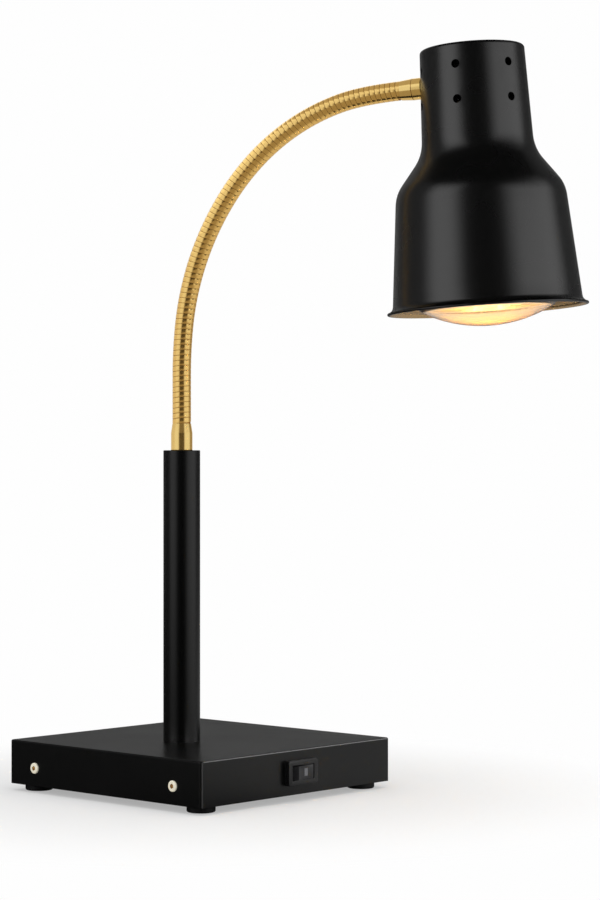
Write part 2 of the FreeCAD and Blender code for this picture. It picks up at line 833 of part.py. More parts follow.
def rocker_switch():
    """Snap-in rocker switch: housing, rocker on two pins, its window and its blade terminals."""
    tall = size("rocker_tall")
    depth = size("switch_body_deep")
    bezel = padded_body("bezel_plate", "XZ_Plane",
                        rectangle(size("bezel_wide"), size("bezel_tall"), size("bezel_corner")),
                        size("bezel_proud"))
    bind(bezel, "Placement.Base.y", -size("switch_pivot_depth"))
    back = block("switch_back", size("switch_body_wide"), depth, size("switch_body_tall"),
                 (0, depth / 2 - size("switch_pivot_depth"), -(size("switch_body_tall") / 2)))
    well_tall = tall + 2 * size("rocker_gap")
    mouth_wide = 2 * (swing_point(bezel_face - size("well_lip")) + size("rocker_gap"))
    mouth = block("switch_mouth", mouth_wide, size("well_lip") * 2, well_tall,
                  (0, -bezel_face, -(well_tall / 2)))
    well_wide = 2 * (size("rocker_swing_radius") + size("rocker_gap"))
    well_length = bezel_face - size("well_lip") + size("well_depth")
    well = block("switch_well", well_wide, well_length, well_tall,
                 (0, size("well_depth") - well_length / 2, -(well_tall / 2)))
    pin_span = tall + 2 * size("pin_reach")
    pin_hole = rod("switch_pin_hole", size("pin_radius") + size("fit_gap"), pin_span + size("rocker_gap"),
                   (0, 0, -((pin_span + size("rocker_gap")) / 2)))
    housing = cut("switch_housing", fuse("switch_blank", [bezel, back]), [mouth, well, pin_hole])
    place = on_base(0, pivot_y, switch_level)
    finish("switch_housing", housing, place)

    blades = [block("switch_blade", size("blade_thick"), size("blade_length"), size("blade_wide"),
                    (column * size("blade_pitch"),
                     depth - size("switch_pivot_depth") + size("blade_length") / 2,
                     -(size("blade_wide") / 2))) for column in (-1, 0, 1)]
    finish("switch_terminals", group("switch_terminals", blades), place)

    tilted = on_base(0, pivot_y, switch_level, Rotation(Vector(0, 0, 1), size("rocker_tilt").value))
    blank = rocker_blank(tall)
    pins = rod("rocker_pins", size("pin_radius"), pin_span, (0, 0, -(pin_span / 2)))
    dish = size("rocker_dish_radius")
    half_face = size("rocker_half_face")
    corner_depth = root(size("rocker_swing_radius") * size("rocker_swing_radius") - half_face * half_face)
    dish_depth = corner_depth - (dish - root(dish * dish - half_face * half_face))
    seat_tall = size("window_tall") + 2 * size("fit_gap")
    seat_wide = size("window_wide") + 2 * size("fit_gap")
    thick = size("window_thick")
    seat = block("window_seat", seat_wide, thick * 2, seat_tall,
                 (size("window_offset"), -dish_depth, -(seat_tall / 2)))
    window = block("window_pane", size("window_wide"), thick, size("window_tall"),
                   (size("window_offset"), thick / 2 - dish_depth, -(size("window_tall") / 2)))
    rocker = cut("switch_rocker", fuse("rocker_solid", [blank, pins]), [seat])
    finish("switch_rocker", rocker, tilted)
    finish("rocker_window", group("rocker_window_piece", [window]), tilted)


# ---------------------------------------------------------------------------------------------
# Pole
# ---------------------------------------------------------------------------------------------

pole_bore = size("pole_radius") - size("pole_wall")
spigot_radius = pole_bore - size("fit_gap")
tube_length = size("pole_height") - size("cap_thick")
stud_clear = size("stud_radius") + size("screw_gap")
pole_x = -size("pole_offset")


def pole():
    """Straight steel tube on a bored plug, pulled down on the cover by a hollow stud, washer and nut."""
    tube = sleeve("pole_tube", size("pole_radius"), pole_bore, tube_length)
    finish("pole_tube", tube, on_base(pole_x, 0, base_top))
    plug = sleeve("pole_foot_plug", spigot_radius, stud_clear, size("plug_length"))
    finish("pole_foot_plug", plug, on_base(pole_x, 0, base_top))
    stud_length = size("stud_top") + size("cover_wall") + size("stud_tail")
    stud = sleeve("pole_stud", size("stud_radius"), size("stud_bore"), stud_length)
    finish("pole_stud", stud, on_base(pole_x, 0, base_top + size("stud_top") - stud_length))
    under_cover = base_top - size("cover_wall")
    washer = sleeve("pole_washer", size("pole_washer_radius"), stud_clear, size("pole_washer_thick"))
    finish("pole_washer", washer, on_base(pole_x, 0, under_cover - size("pole_washer_thick")))
    pole_nut = nut("pole_nut", size("nut_radius"), stud_clear, size("nut_thick"))
    finish("pole_nut", pole_nut,
           on_base(pole_x, 0, under_cover - size("pole_washer_thick") - size("nut_thick")))
    cap = turned_body("pole_cap", [
        (stud_clear, -size("cap_spigot")),
        (spigot_radius, -size("cap_spigot")),
        (spigot_radius, 0),
        (size("pole_radius"), 0),
        (size("pole_radius"), size("cap_thick") - size("cap_round"), size("cap_round")),
        (size("pole_radius") - size("cap_round"), size("cap_thick")),
        (stud_clear, size("cap_thick")),
    ])
    finish("pole_cap", cap, on_base(pole_x, 0, pole_top - size("cap_thick")))


# ---------------------------------------------------------------------------------------------
# Gooseneck
# ---------------------------------------------------------------------------------------------


def ferrule(name, radius, length, taper):
    """Brass end sleeve: a cylinder from z = 0 and a taper down to the neck's own diameter."""
    whole = length + taper
    return turned_body(name, [
        (stud_clear, 0),
        (radius, 0),
        (radius, length),
        (size("neck_radius"), whole),
        (size("neck_bore"), whole),
        (size("neck_bore"), size("ferrule_bore_depth")),
        (stud_clear, size("ferrule_bore_depth")),
    ])


def lower_end():
    """Lower ferrule on the pole's cap, held by a hollow nipple and a nut inside the tube."""
    piece = ferrule("lower_ferrule", size("lower_ferrule_radius"), size("lower_ferrule_length"),
                    size("ferrule_taper"))
    finish("lower_ferrule", piece, on_base(pole_x, 0, pole_top))
    under_cap = size("cap_thick") + size("cap_spigot")
    length = size("ferrule_bore_depth") + under_cap + size("nipple_tail")
    nipple = sleeve("lower_nipple", size("stud_radius"), size("stud_bore"), length)
    finish("lower_nipple", nipple, on_base(pole_x, 0, pole_top + size("ferrule_bore_depth") - length))
    lock = nut("lower_nipple_nut", size("nut_radius"), stud_clear, size("nut_thick"))
    finish("lower_nipple_nut", lock, on_base(pole_x, 0, pole_top - under_cap - size("nut_thick")))


def wound_link(name, length, has_socket, has_ball):
    """One stretch of the wound neck, from its own hinge point up.

    Its outside is a run of overlapping turns, each a shallow cone with a step to the next. A socket at
    the foot goes round the ball turn of the link below, and a ball turn at the top carries the link above.
    """
    ball = size("ball_radius")
    back_radius = root(ball * ball - size("ball_back") * size("ball_back"))
    bore = size("neck_bore")
    outer = size("neck_radius")
    length = as_size(length)
    foot = size("socket_edge") if has_socket else as_size(0)
    top = length - size("ball_back") if has_ball else length
    turns = max(1, round((top.value - foot.value) / size("turn_pitch").value))
    pitch = (top - foot) / turns
    corners = []
    if has_socket:
        socket = ball + size("socket_gap")
        edge_radius = root(socket * socket - foot * foot)
        corners += [(bore, root(socket * socket - bore * bore), -socket), (edge_radius, foot)]
    else:
        corners += [(bore, foot)]
    for turn in range(turns):
        corners += [(outer, foot + pitch * turn), (back_radius, foot + pitch * (turn + 1))]
    if has_ball:
        front_radius = root(ball * ball - size("ball_front") * size("ball_front"))
        corners[-1] = (back_radius, top, ball)
        corners += [(front_radius, length + size("ball_front")), (bore, length + size("ball_front"))]
    else:
        corners += [(bore, top)]
    return turned_body(name, corners)


def gooseneck():
    """The root stretch on the pole, the moving links, and the tip that carries the shade."""
    root_piece = wound_link("gooseneck_root", link_length / 2, False, True)
    finish("gooseneck_root", root_piece, centre_shift * frame_at(neck_start, 0))
    for number in range(1, HINGE_COUNT):
        name = f"gooseneck_link_{number}"
        link = wound_link(name, link_length, True, True)
        finish(name, link, centre_shift * frame_at(hinges[number - 1], leans[number]))
    tip = wound_link("gooseneck_tip", tip_length, True, False)
    finish("gooseneck_tip", tip, centre_shift * frame_at(hinges[-1], leans[-1]))


# ---------------------------------------------------------------------------------------------
# Head: everything is placed in the head's frame
# ---------------------------------------------------------------------------------------------

TOWARDS_NECK = Rotation(Vector(0, 0, 1), Vector(1, 0, 0))


def sheet_face(inset):
    """One face of the shade's sheet, from the top edge down the side to the rim's curl."""
    slant = inset / 2
    return [
        (size("shade_top_radius") - size("shade_top_round"), size("shade_height") - inset,
         inset - size("shade_top_round")),
        (size("shade_top_radius") - inset, size("shade_height") - size("shade_top_round")),
        (size("neck_foot_radius") - inset, size("neck_foot_height"), size("shoulder_hollow") + inset),
        (size("shoulder_upper_radius") - inset, size("shoulder_upper_height") - slant),
        (size("shoulder_lower_radius") - inset, size("shoulder_lower_height") - slant,
         inset - size("shoulder_round")),
        (size("body_top_radius") - inset, size("body_top_height")),
        (size("body_foot_radius") - inset, size("body_foot_height"), size("rim_hollow") + inset),
    ]


def walked_back(corners):
    """The same line from its other end: each arc goes with the corner that it now leaves."""
    bends = [None] + [corner[2] if len(corner) == 3 else None for corner in corners[:-1]]
    return [(corner[0], corner[1]) if bend is None else (corner[0], corner[1], -bend)
            for corner, bend in zip(corners[::-1], bends[::-1])]


def shade():
    """Spun shade: closed top, straight neck with two rows of vents, shoulder, flared body, rolled rim."""
    axis = as_size(0)
    floor = as_size(0)
    wall = size("shade_wall")
    height = size("shade_height")
    rim_inside = size("rim_radius") - size("shade_roll")
    corners = [(axis, height)] + sheet_face(as_size(0))
    roll = size("shade_roll")
    corners += [(rim_inside, size("rim_thick"), -roll), (size("rim_radius"), size("rim_thick") - roll),
                (size("rim_radius"), roll, -roll), (rim_inside, floor),
                (rim_inside - wall, floor, -(size("rim_hollow") + wall))]
    corners += walked_back(sheet_face(wall)) + [(axis, height - wall)]
    body = turned_body("shade_spinning", corners)
    vents = []
    for column in range(SIZES["vent_columns"]):
        turn = math.radians(360 / SIZES["vent_columns"] * (column + 0.5) - SIZES["vent_turn"])
        outward = (math.cos(turn), math.sin(turn), 0)
        for row in range(VENT_ROWS):
            level = size("shade_height") - size("vent_drop") - row * size("vent_spacing")
            vents.append(rod("vent", size("vent_radius"), size("neck_foot_radius") + wall, (0, 0, level),
                             outward))
    entry = rod("neck_entry", stud_clear, size("neck_foot_radius") + wall,
                (0, 0, size("shade_height") - size("entry_drop")), (1, 0, 0))
    finish("shade", cut("shade", body, vents + [entry]), in_head(z=rim_level))


def neck_cone(name, inset):
    """The neck's own cone, in the head's frame, moved in by an inset."""
    solid = document.addObject("Part::Cone", name)
    length = size("shade_height") - size("shade_top_round") - size("neck_foot_height")
    bind(solid, "Radius1", size("neck_foot_radius") - inset)
    bind(solid, "Radius2", size("shade_top_radius") - inset)
    bind(solid, "Height", length)
    put(solid, (0, 0, size("neck_foot_height") - size("shade_height") + size("entry_drop")), (0, 0, 1))
    return solid


washer_face = entry_radius - size("shade_wall") - size("washer_thick")
bracket_face = washer_face - size("bracket_wall")
plate_top = -size("bracket_drop")
plate_under = plate_top - size("bracket_wall")


def neck_joint():
    """Upper ferrule outside the neck's wall; nipple, saddle washer and nut that clamp it inside."""
    length = size("upper_ferrule_length")
    over = size("washer_thick")
    sleeve_body = ferrule("upper_ferrule_blank", size("upper_ferrule_radius"), length + over,
                          size("upper_ferrule_taper"))
    bind(sleeve_body, "Placement.Base.x", entry_radius - over)
    sleeve_body.Placement.Rotation = TOWARDS_NECK
    fitted = cut("upper_ferrule", sleeve_body, [neck_cone("ferrule_saddle", -size("screw_gap") / 2)])
    finish("upper_ferrule", fitted, in_head())
    nipple_length = size("ferrule_bore_depth") + size("bracket_wall") + size("nut_thick")
    nipple_length += size("shade_wall") + size("nipple_end")
    nipple = sleeve("upper_nipple", size("stud_radius"), size("stud_bore"), nipple_length)
    finish("upper_nipple", nipple,
           in_head(x=bracket_face - size("nut_thick") - size("nipple_end"), rotation=TOWARDS_NECK))
    disc = rod("saddle_disc", size("washer_radius"), size("washer_thick") * 2, (washer_face, 0, 0),
               (1, 0, 0))
    disc_bore = rod("saddle_bore", stud_clear, size("washer_thick") * 2, (washer_face, 0, 0), (1, 0, 0))
    saddle = document.addObject("Part::Common", "saddle_blank")
    saddle.Base = disc
    saddle.Tool = neck_cone("saddle_limit", size("shade_wall") + size("screw_gap") / 2)
    finish("saddle_washer", cut("saddle_washer", saddle, [disc_bore]), in_head())
    lock = nut("upper_nut", size("nut_radius"), stud_clear, size("nut_thick"))
    finish("upper_nut", lock, in_head(x=bracket_face - size("nut_thick"), rotation=TOWARDS_NECK))


def holder_bracket():
    """Bent strip: its ear is clamped by the neck's nut, its shelf carries the lamp holder."""
    wall = size("bracket_wall")
    bend = size("bracket_bend")
    wide = size("bracket_wide")
    body = padded_body("bracket_strip", "XZ_Plane", [
        (-size("bracket_past_axis"), plate_under),
        (washer_face - bend, plate_under, bend),
        (washer_face, plate_under + bend),
        (washer_face, size("bracket_ear_top")),
        (bracket_face, size("bracket_ear_top")),
        (bracket_face, plate_under + bend, -(bend - wall)),
        (washer_face - bend, plate_top),
        (-size("bracket_past_axis"), plate_top),
    ], wide)
    bind(body, "Placement.Base.y", wide / 2)
    depth = size("cutter_depth")
    tools = [rod("ear_hole", stud_clear, depth, (bracket_face - wall, 0, 0), (1, 0, 0)),
             rod("cable_hole", size("cable_hole_radius"), depth, (0, 0, plate_under - wall))]
    screws = []
    for side in (-1, 1):
        reach = side * size("holder_screw_reach")
        tools.append(rod("shelf_hole", size("small_shank_radius") + size("screw_gap"), depth,
                         (reach, 0, plate_under - wall)))
        screw = cap_screw(f"holder_screw_{side + 2}", size("small_head_radius"), size("small_head_height"),
                          size("small_shank_radius"), size("holder_shank_length"))
        screw.Placement = Placement(Vector(float(reach), 0, 0), Rotation())
        screws.append(screw)
    finish("holder_bracket", cut("holder_bracket", body, tools), in_head())
    finish("holder_screws", group("holder_screws", screws), in_head(z=plate_top))


sleeve_bore = size("cap_radius") + size("sleeve_gap")
sleeve_outer = sleeve_bore + size("sleeve_wall")
holder_bore = sleeve_outer + size("fit_gap")
holder_floor_level = plate_under - size("holder_floor")


def lamp_holder():
    """Ceramic screw holder with its threaded sleeve and the spring contact in its floor."""
    top = as_size(0)
    bottom = -size("holder_length")
    floor = -size("holder_floor")
    waist = size("holder_waist_radius")
    flare = size("holder_radius")
    ceramic = turned_body("holder_ceramic", [
        (size("cable_hole_radius"), top),
        (waist, top),
        (waist, floor),
        (flare, floor - (flare - waist)),
        (flare, bottom),
        (holder_bore, bottom),
        (holder_bore, floor),
        (size("cable_hole_radius"), floor),
    ])
    depth = size("holder_shank_length")
    tools = [rod("holder_hole", size("small_shank_radius") + size("screw_gap"), depth,
                 (side * size("holder_screw_reach"), 0, -depth)) for side in (-1, 1)]
    finish("lamp_holder", cut("lamp_holder", ceramic, tools), in_head(z=plate_under))
    thread = sleeve("holder_sleeve", sleeve_outer, sleeve_bore, size("sleeve_length"))
    finish("holder_sleeve", thread, in_head(z=holder_floor_level - size("sleeve_length")))
    button = rod("contact_button", size("contact_foot_radius"), size("contact_thick"),
                 (0, 0, -size("contact_thick")))
    post_length = size("bulb_drop") - size("screw_gap")
    post = rod("contact_post", size("contact_radius"), post_length, (0, 0, -post_length))
    finish("holder_contact", fuse("holder_contact", [button, post]), in_head(z=holder_floor_level))


# ---------------------------------------------------------------------------------------------
# Reflector bulb, drawn from the lowest point of its face up
# ---------------------------------------------------------------------------------------------

bulb_foot = holder_floor_level - size("bulb_drop") - size("bulb_length")
cap_foot = size("bulb_length") - size("tip_height") - size("insulator_height") - size("cap_height")


def bulb_glass():
    """Blown reflector envelope, open only where its stem is sealed in under the cap."""
    glass = size("glass_wall")
    axis = as_size(0)
    seal_foot = size("bulb_seal_height") - size("bulb_seal_run")
    outside = [
        (axis, axis, size("bulb_face_radius")),
        (size("bulb_edge_radius"), size("bulb_edge_height"), size("bulb_edge_round")),
        (size("bulb_radius"), size("bulb_widest_height"), size("bulb_bowl_round")),
        (size("bulb_bowl_radius"), size("bulb_bowl_height"), -size("bulb_throat_hollow")),
        (size("bulb_throat_radius"), size("bulb_throat_height")),
        (size("bulb_seal_radius"), seal_foot),
        (size("bulb_seal_radius"), size("bulb_seal_height")),
    ]
    inside = [
        (size("bulb_seal_radius") - glass, size("bulb_seal_height")),
        (size("bulb_seal_radius") - glass, seal_foot),
        (size("bulb_throat_radius") - glass, size("bulb_throat_height"), size("bulb_throat_hollow") + glass),
        (size("bulb_bowl_radius") - glass, size("bulb_bowl_height") - glass / 2,
         glass - size("bulb_bowl_round")),
        (size("bulb_radius") - glass, size("bulb_widest_height"), glass - size("bulb_edge_round")),
        (size("bulb_edge_radius") - glass, size("bulb_edge_height") + glass / 2,
         glass - size("bulb_face_radius")),
        (axis, glass),
    ]
    envelope = turned_body("bulb_glass", outside + inside)
    finish("bulb_glass", envelope, in_head(z=bulb_foot))


def bulb_cap():
    """Screw cap: threaded shell over the sealed end, black insulator and centre tip."""
    crest = size("cap_radius")
    valley = crest - size("cap_thread_depth")
    sheet_inside = size("bulb_seal_radius") + size("fit_gap")
    height = size("cap_height")
    half_pitch = size("cap_thread_pitch") / 2
    corners = [(sheet_inside, 0), (valley, 0), (valley, half_pitch)]
    for turn in range(THREAD_TURNS):
        start = half_pitch + size("cap_thread_pitch") * turn
        corners += [(crest, start + half_pitch), (valley, start + half_pitch * 2)]
    corners += [(size("insulator_radius"), height), (size("tip_radius") / 2, height),
                (size("tip_radius") / 2, height - size("cap_sheet")),
                (sheet_inside, height - size("cap_sheet") * 4)]
    level = bulb_foot + cap_foot
    finish("bulb_cap", turned_body("bulb_cap", corners), in_head(z=level))
    cone = document.addObject("Part::Cone", "bulb_insulator_cone")
    bind(cone, "Radius1", size("insulator_radius"))
    bind(cone, "Radius2", size("tip_radius"))
    bind(cone, "Height", size("insulator_height"))
    finish("bulb_insulator", group("bulb_insulator_piece", [cone]), in_head(z=level + height))
    tip = rod("bulb_tip_rod", size("tip_radius"), size("tip_height"))
    finish("bulb_tip", group("bulb_tip_piece", [tip]), in_head(z=level + height + size("insulator_height")))


def bulb_inside():
    """Glass stem, its two leads and the filament ring."""
    stem_top = size("bulb_seal_height") - size("stem_short")
    foot = size("stem_foot_height")
    flare = size("bulb_seal_radius") - size("glass_wall") - size("screw_gap")
    stem = turned_body("bulb_stem", [
        (0, foot),
        (size("stem_radius"), foot),
        (size("stem_radius"), stem_top - size("stem_flare_length")),
        (flare, stem_top),
        (0, stem_top),
    ])
    level = bulb_foot
    finish("bulb_stem", stem, in_head(z=level))
    ring = document.addObject("Part::Torus", "filament_ring")
    bind(ring, "Radius1", size("filament_ring_radius"))
    bind(ring, "Radius2", size("filament_wire_radius"))
    finish("bulb_filament", group("bulb_filament_piece", [ring]), in_head(z=level + size("filament_height")))
    leads = []
    for side in (-1, 1):
        lower = Vector(side * size("filament_ring_radius").value, 0, size("filament_height").value)
        upper = Vector(side * size("stem_radius").value / 2, 0, (foot - size("lead_radius")).value)
        span = upper - lower
        start = lower + span * ((size("filament_wire_radius") + size("screw_gap")).value / span.Length)
        lead = rod("filament_lead", size("lead_radius"), (upper - start).Length,
                   (start.x, start.y, start.z), tuple(span))
        leads.append(lead)
    finish("filament_leads", group("filament_leads", leads), in_head(z=level))


for build_piece in (base_cover, base_tray, ballast, feet, side_screws, cord_gland, terminal_block,
                    rocker_switch, pole, lower_end, gooseneck, shade, neck_joint, holder_bracket,
                    lamp_holder, bulb_glass, bulb_cap, bulb_inside):
    build_piece()
document.recompute()

for feature in document.Objects:
    if {"Invalid", "Error"} & set(feature.State):
        raise RuntimeError(f"{feature.Label} did not build: {feature.State}")
for piece in finished:
    if piece.Shape.isNull() or not piece.Shape.isValid() or not piece.Shape.Solids:
        raise RuntimeError(f"{piece.Label} has no valid solid")

os.makedirs("parts", exist_ok=True)
for piece in finished:
    piece.Shape.exportStep(f"parts/{piece.Label}.step")
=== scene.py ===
"""Infrared heat therapy lamp, dressed for its portrait.

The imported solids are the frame: every piece here stands on them, in metres and in their own coordinates.
The file follows the lamp as it is put together, from the floor up to the bulb.
"""

import json
import math

import bmesh
import bpy
from mathutils import Matrix, Vector


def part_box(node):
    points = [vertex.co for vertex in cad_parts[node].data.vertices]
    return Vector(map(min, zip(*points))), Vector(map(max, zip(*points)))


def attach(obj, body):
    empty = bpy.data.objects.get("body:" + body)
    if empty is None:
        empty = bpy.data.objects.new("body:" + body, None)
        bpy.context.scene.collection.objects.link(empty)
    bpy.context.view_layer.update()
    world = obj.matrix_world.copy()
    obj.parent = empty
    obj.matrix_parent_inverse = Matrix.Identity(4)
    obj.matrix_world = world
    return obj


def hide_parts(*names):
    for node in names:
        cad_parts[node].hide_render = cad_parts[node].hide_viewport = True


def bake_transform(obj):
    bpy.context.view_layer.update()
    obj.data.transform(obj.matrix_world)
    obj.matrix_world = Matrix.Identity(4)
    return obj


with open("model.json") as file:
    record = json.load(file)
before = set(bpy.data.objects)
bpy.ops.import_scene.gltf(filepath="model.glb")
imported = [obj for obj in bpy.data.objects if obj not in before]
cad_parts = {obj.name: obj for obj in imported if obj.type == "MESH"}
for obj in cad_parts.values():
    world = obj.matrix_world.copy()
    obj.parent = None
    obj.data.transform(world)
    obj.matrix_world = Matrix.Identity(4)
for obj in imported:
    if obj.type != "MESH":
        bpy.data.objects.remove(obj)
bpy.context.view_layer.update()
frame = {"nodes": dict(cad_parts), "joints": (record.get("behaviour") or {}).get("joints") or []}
nodes = frame["nodes"]

# ---- Camera -----------------------------------------------------------------------------------
# A short telephoto lens at the height of the pole's top, level, looking along the base's diagonal
# so that the left and front walls show about equally.

MM = 0.001
cover_low, cover_high = (Vector(corner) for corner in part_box("base_cover"))
floor_point = Vector(((cover_low.x + cover_high.x) / 2, (cover_low.y + cover_high.y) / 2, 0))
camera_yaw = math.radians(47.52)
to_the_right = Vector((math.cos(camera_yaw), -math.sin(camera_yaw), 0))
to_the_camera = Vector((-math.sin(camera_yaw), -math.cos(camera_yaw), 0))
camera_distance = 2186.9 * MM
camera_aside = 87.3 * MM
camera_height = 296.7 * MM
lens = bpy.data.cameras.new("portrait_camera")
lens.lens = 99.8
lens.sensor_width = 36.0
lens.dof.use_dof = False
lens.clip_start = 0.05
lens.clip_end = 50
camera = bpy.data.objects.new("portrait_camera", lens)
bpy.context.collection.objects.link(camera)
camera.location = floor_point + to_the_right * camera_aside + to_the_camera * camera_distance
camera.location.z = camera_height
camera.rotation_euler = (math.radians(90), 0, -camera_yaw)
bpy.context.scene.camera = camera
bpy.context.scene.view_settings.view_transform = "Standard"

# ---- Studio -----------------------------------------------------------------------------------
# A white floor that runs into a white backdrop, a soft box each side of the camera and one above, and
# graded cards that give the black coat and the brass their light and dark bands. Only the floor takes
# a shadow.


def colour(code):
    """An sRGB hex colour as the linear RGBA that a shader takes."""
    parts = [int(code[start:start + 2], 16) / 255 for start in (1, 3, 5)]
    return [part / 12.92 if part <= 0.04045 else ((part + 0.055) / 1.055) ** 2.4 for part in parts] + [1]


def add(tree, kind, settings=None, **inputs):
    """Adds a node, sets its properties, and fills its inputs: a node's socket is linked, and anything
    else is a value."""
    node = tree.nodes.new(kind)
    for name, value in (settings or {}).items():
        setattr(node, name, value)
    for name, value in inputs.items():
        key = int(name[1:]) if name[0] == "_" else name.replace("_", " ")
        if isinstance(value, bpy.types.NodeSocket):
            tree.links.new(value, node.inputs[key])
        else:
            node.inputs[key].default_value = value
    return node


def new_material(name):
    """An empty node material and its node tree."""
    material = bpy.data.materials.new(name)
    material.use_nodes = True
    material.node_tree.nodes.clear()
    return material, material.node_tree


def new_piece(name, shape):
    """A mesh or a curve as an object of the scene."""
    piece = bpy.data.objects.new(name, shape)
    bpy.context.collection.objects.link(piece)
    return piece


def seen_as_backdrop(tree):
    """One for camera, glossy and transmission rays, which see the backdrop and not its lamps."""
    path = add(tree, "ShaderNodeLightPath")
    sharp = add(tree, "ShaderNodeMath", {"operation": "MAXIMUM"}, _0=path.outputs["Is Camera Ray"],
                _1=path.outputs["Is Glossy Ray"])
    return add(tree, "ShaderNodeMath", {"operation": "MAXIMUM"}, _0=sharp.outputs[0],
               _1=path.outputs["Is Transmission Ray"]).outputs[0]


# The room lights the lamp at this strength, and is itself seen at full white.
room_light = 0.62
room = bpy.data.worlds.new("studio_room")
room.use_nodes = True
room.node_tree.nodes.clear()
tree = room.node_tree
strength = add(tree, "ShaderNodeMapRange", _0=seen_as_backdrop(tree), To_Min=room_light, To_Max=1.0)
backdrop = add(tree, "ShaderNodeBackground", Color=colour("#fefefe"), Strength=strength.outputs[0])
add(tree, "ShaderNodeOutputWorld", Surface=backdrop.outputs[0])
bpy.context.scene.world = room

floor_reach = 6.0
# The floor lies a hair under the feet, so that they never share a plane.
floor_drop = 0.1 * MM
floor_mesh = bpy.data.meshes.new("studio_floor")
floor_corners = [(x * floor_reach, y * floor_reach, -floor_drop)
                 for x, y in ((-1, -1), (1, -1), (1, 1), (-1, 1))]
floor_mesh.from_pydata(floor_corners, [], [(0, 1, 2, 3)])
floor = new_piece("studio_floor", floor_mesh)
# The paper shows its shadow as far as the first distance, and none of it beyond the second.
shadow_share = 0.62
shadow_reach, shadow_end = 0.16, 0.42
paper, tree = new_material("white_paper_sweep")
place = add(tree, "ShaderNodeTexCoord")
from_lamp = add(tree, "ShaderNodeVectorMath", {"operation": "DISTANCE"}, _0=place.outputs["Object"],
                _1=tuple(floor_point))
near = add(tree, "ShaderNodeMapRange", {"interpolation_type": "SMOOTHSTEP"}, _0=from_lamp.outputs["Value"],
           From_Min=shadow_reach, From_Max=shadow_end, To_Min=shadow_share, To_Max=0.0)
lit = add(tree, "ShaderNodeBsdfDiffuse", Color=colour("#fafafa"))
bright = add(tree, "ShaderNodeEmission", Color=colour("#fefefe"), Strength=1.0)
shown = add(tree, "ShaderNodeMixShader", _0=near.outputs[0], _1=bright.outputs[0], _2=lit.outputs[0])
plain = add(tree, "ShaderNodeMixShader", _0=seen_as_backdrop(tree), _1=lit.outputs[0], _2=shown.outputs[0])
# From underneath the paper is left out, so that the lamp's own underside shows.
side = add(tree, "ShaderNodeNewGeometry")
clear = add(tree, "ShaderNodeBsdfTransparent")
one_sided = add(tree, "ShaderNodeMixShader", _0=side.outputs["Backfacing"], _1=plain.outputs[0],
                _2=clear.outputs[0])
add(tree, "ShaderNodeOutputMaterial", Surface=one_sided.outputs[0])
floor_mesh.materials.append(paper)


def round_the_lamp(angle, distance, height):
    """A point given by its angle from the camera in degrees, positive to the camera's right."""
    turn = math.radians(angle)
    return (floor_point + (to_the_camera * math.cos(turn) + to_the_right * math.sin(turn)) * distance
            + Vector((0, 0, height)))


# Every soft box is turned to this height on the pole's line.
aim_height = 0.35


def soft_box(name, angle, distance, height, wide, tall, power):
    """A soft box given in degrees, metres and watts."""
    lamp = bpy.data.lights.new(name, "AREA")
    lamp.shape = "RECTANGLE"
    lamp.size = wide
    lamp.size_y = tall
    lamp.energy = power
    piece = bpy.data.objects.new(name, lamp)
    bpy.context.collection.objects.link(piece)
    piece.visible_glossy = False
    piece.location = round_the_lamp(angle, distance, height)
    aim = floor_point + Vector((0, 0, aim_height)) - piece.location
    piece.rotation_euler = aim.to_track_quat("-Z", "Y").to_euler()
    return piece


soft_box("left_soft_box", angle=-41, distance=2.2, height=0.75, wide=1.1, tall=1.5, power=5)
soft_box("right_soft_box", angle=62, distance=2.2, height=0.75, wide=2.2, tall=1.5, power=8)
soft_box("top_soft_box", angle=20, distance=0.5, height=2.1, wide=1.6, tall=1.6, power=8)
# Two strips rake the cover's folds only, which draws them as thin light lines.
edge_pieces = bpy.data.collections.new("edge_pieces")
edge_pieces.objects.link(nodes["base_cover"])
for edge_light in (
        soft_box("corner_strip", angle=34, distance=2.2, height=0.12, wide=0.8, tall=0.24, power=9),
        soft_box("top_fold_strip", angle=104, distance=1.8, height=1.2, wide=0.6, tall=1.2, power=16)):
    edge_light.visible_glossy = True
    edge_light.light_linking.receiver_collection = edge_pieces
# The cards' own light reaches the pieces in this collection only. The rest sees how dull they are.
brass_pieces = bpy.data.collections.new("brass_pieces")
# A card has a corner about every so many degrees.
card_step = 6


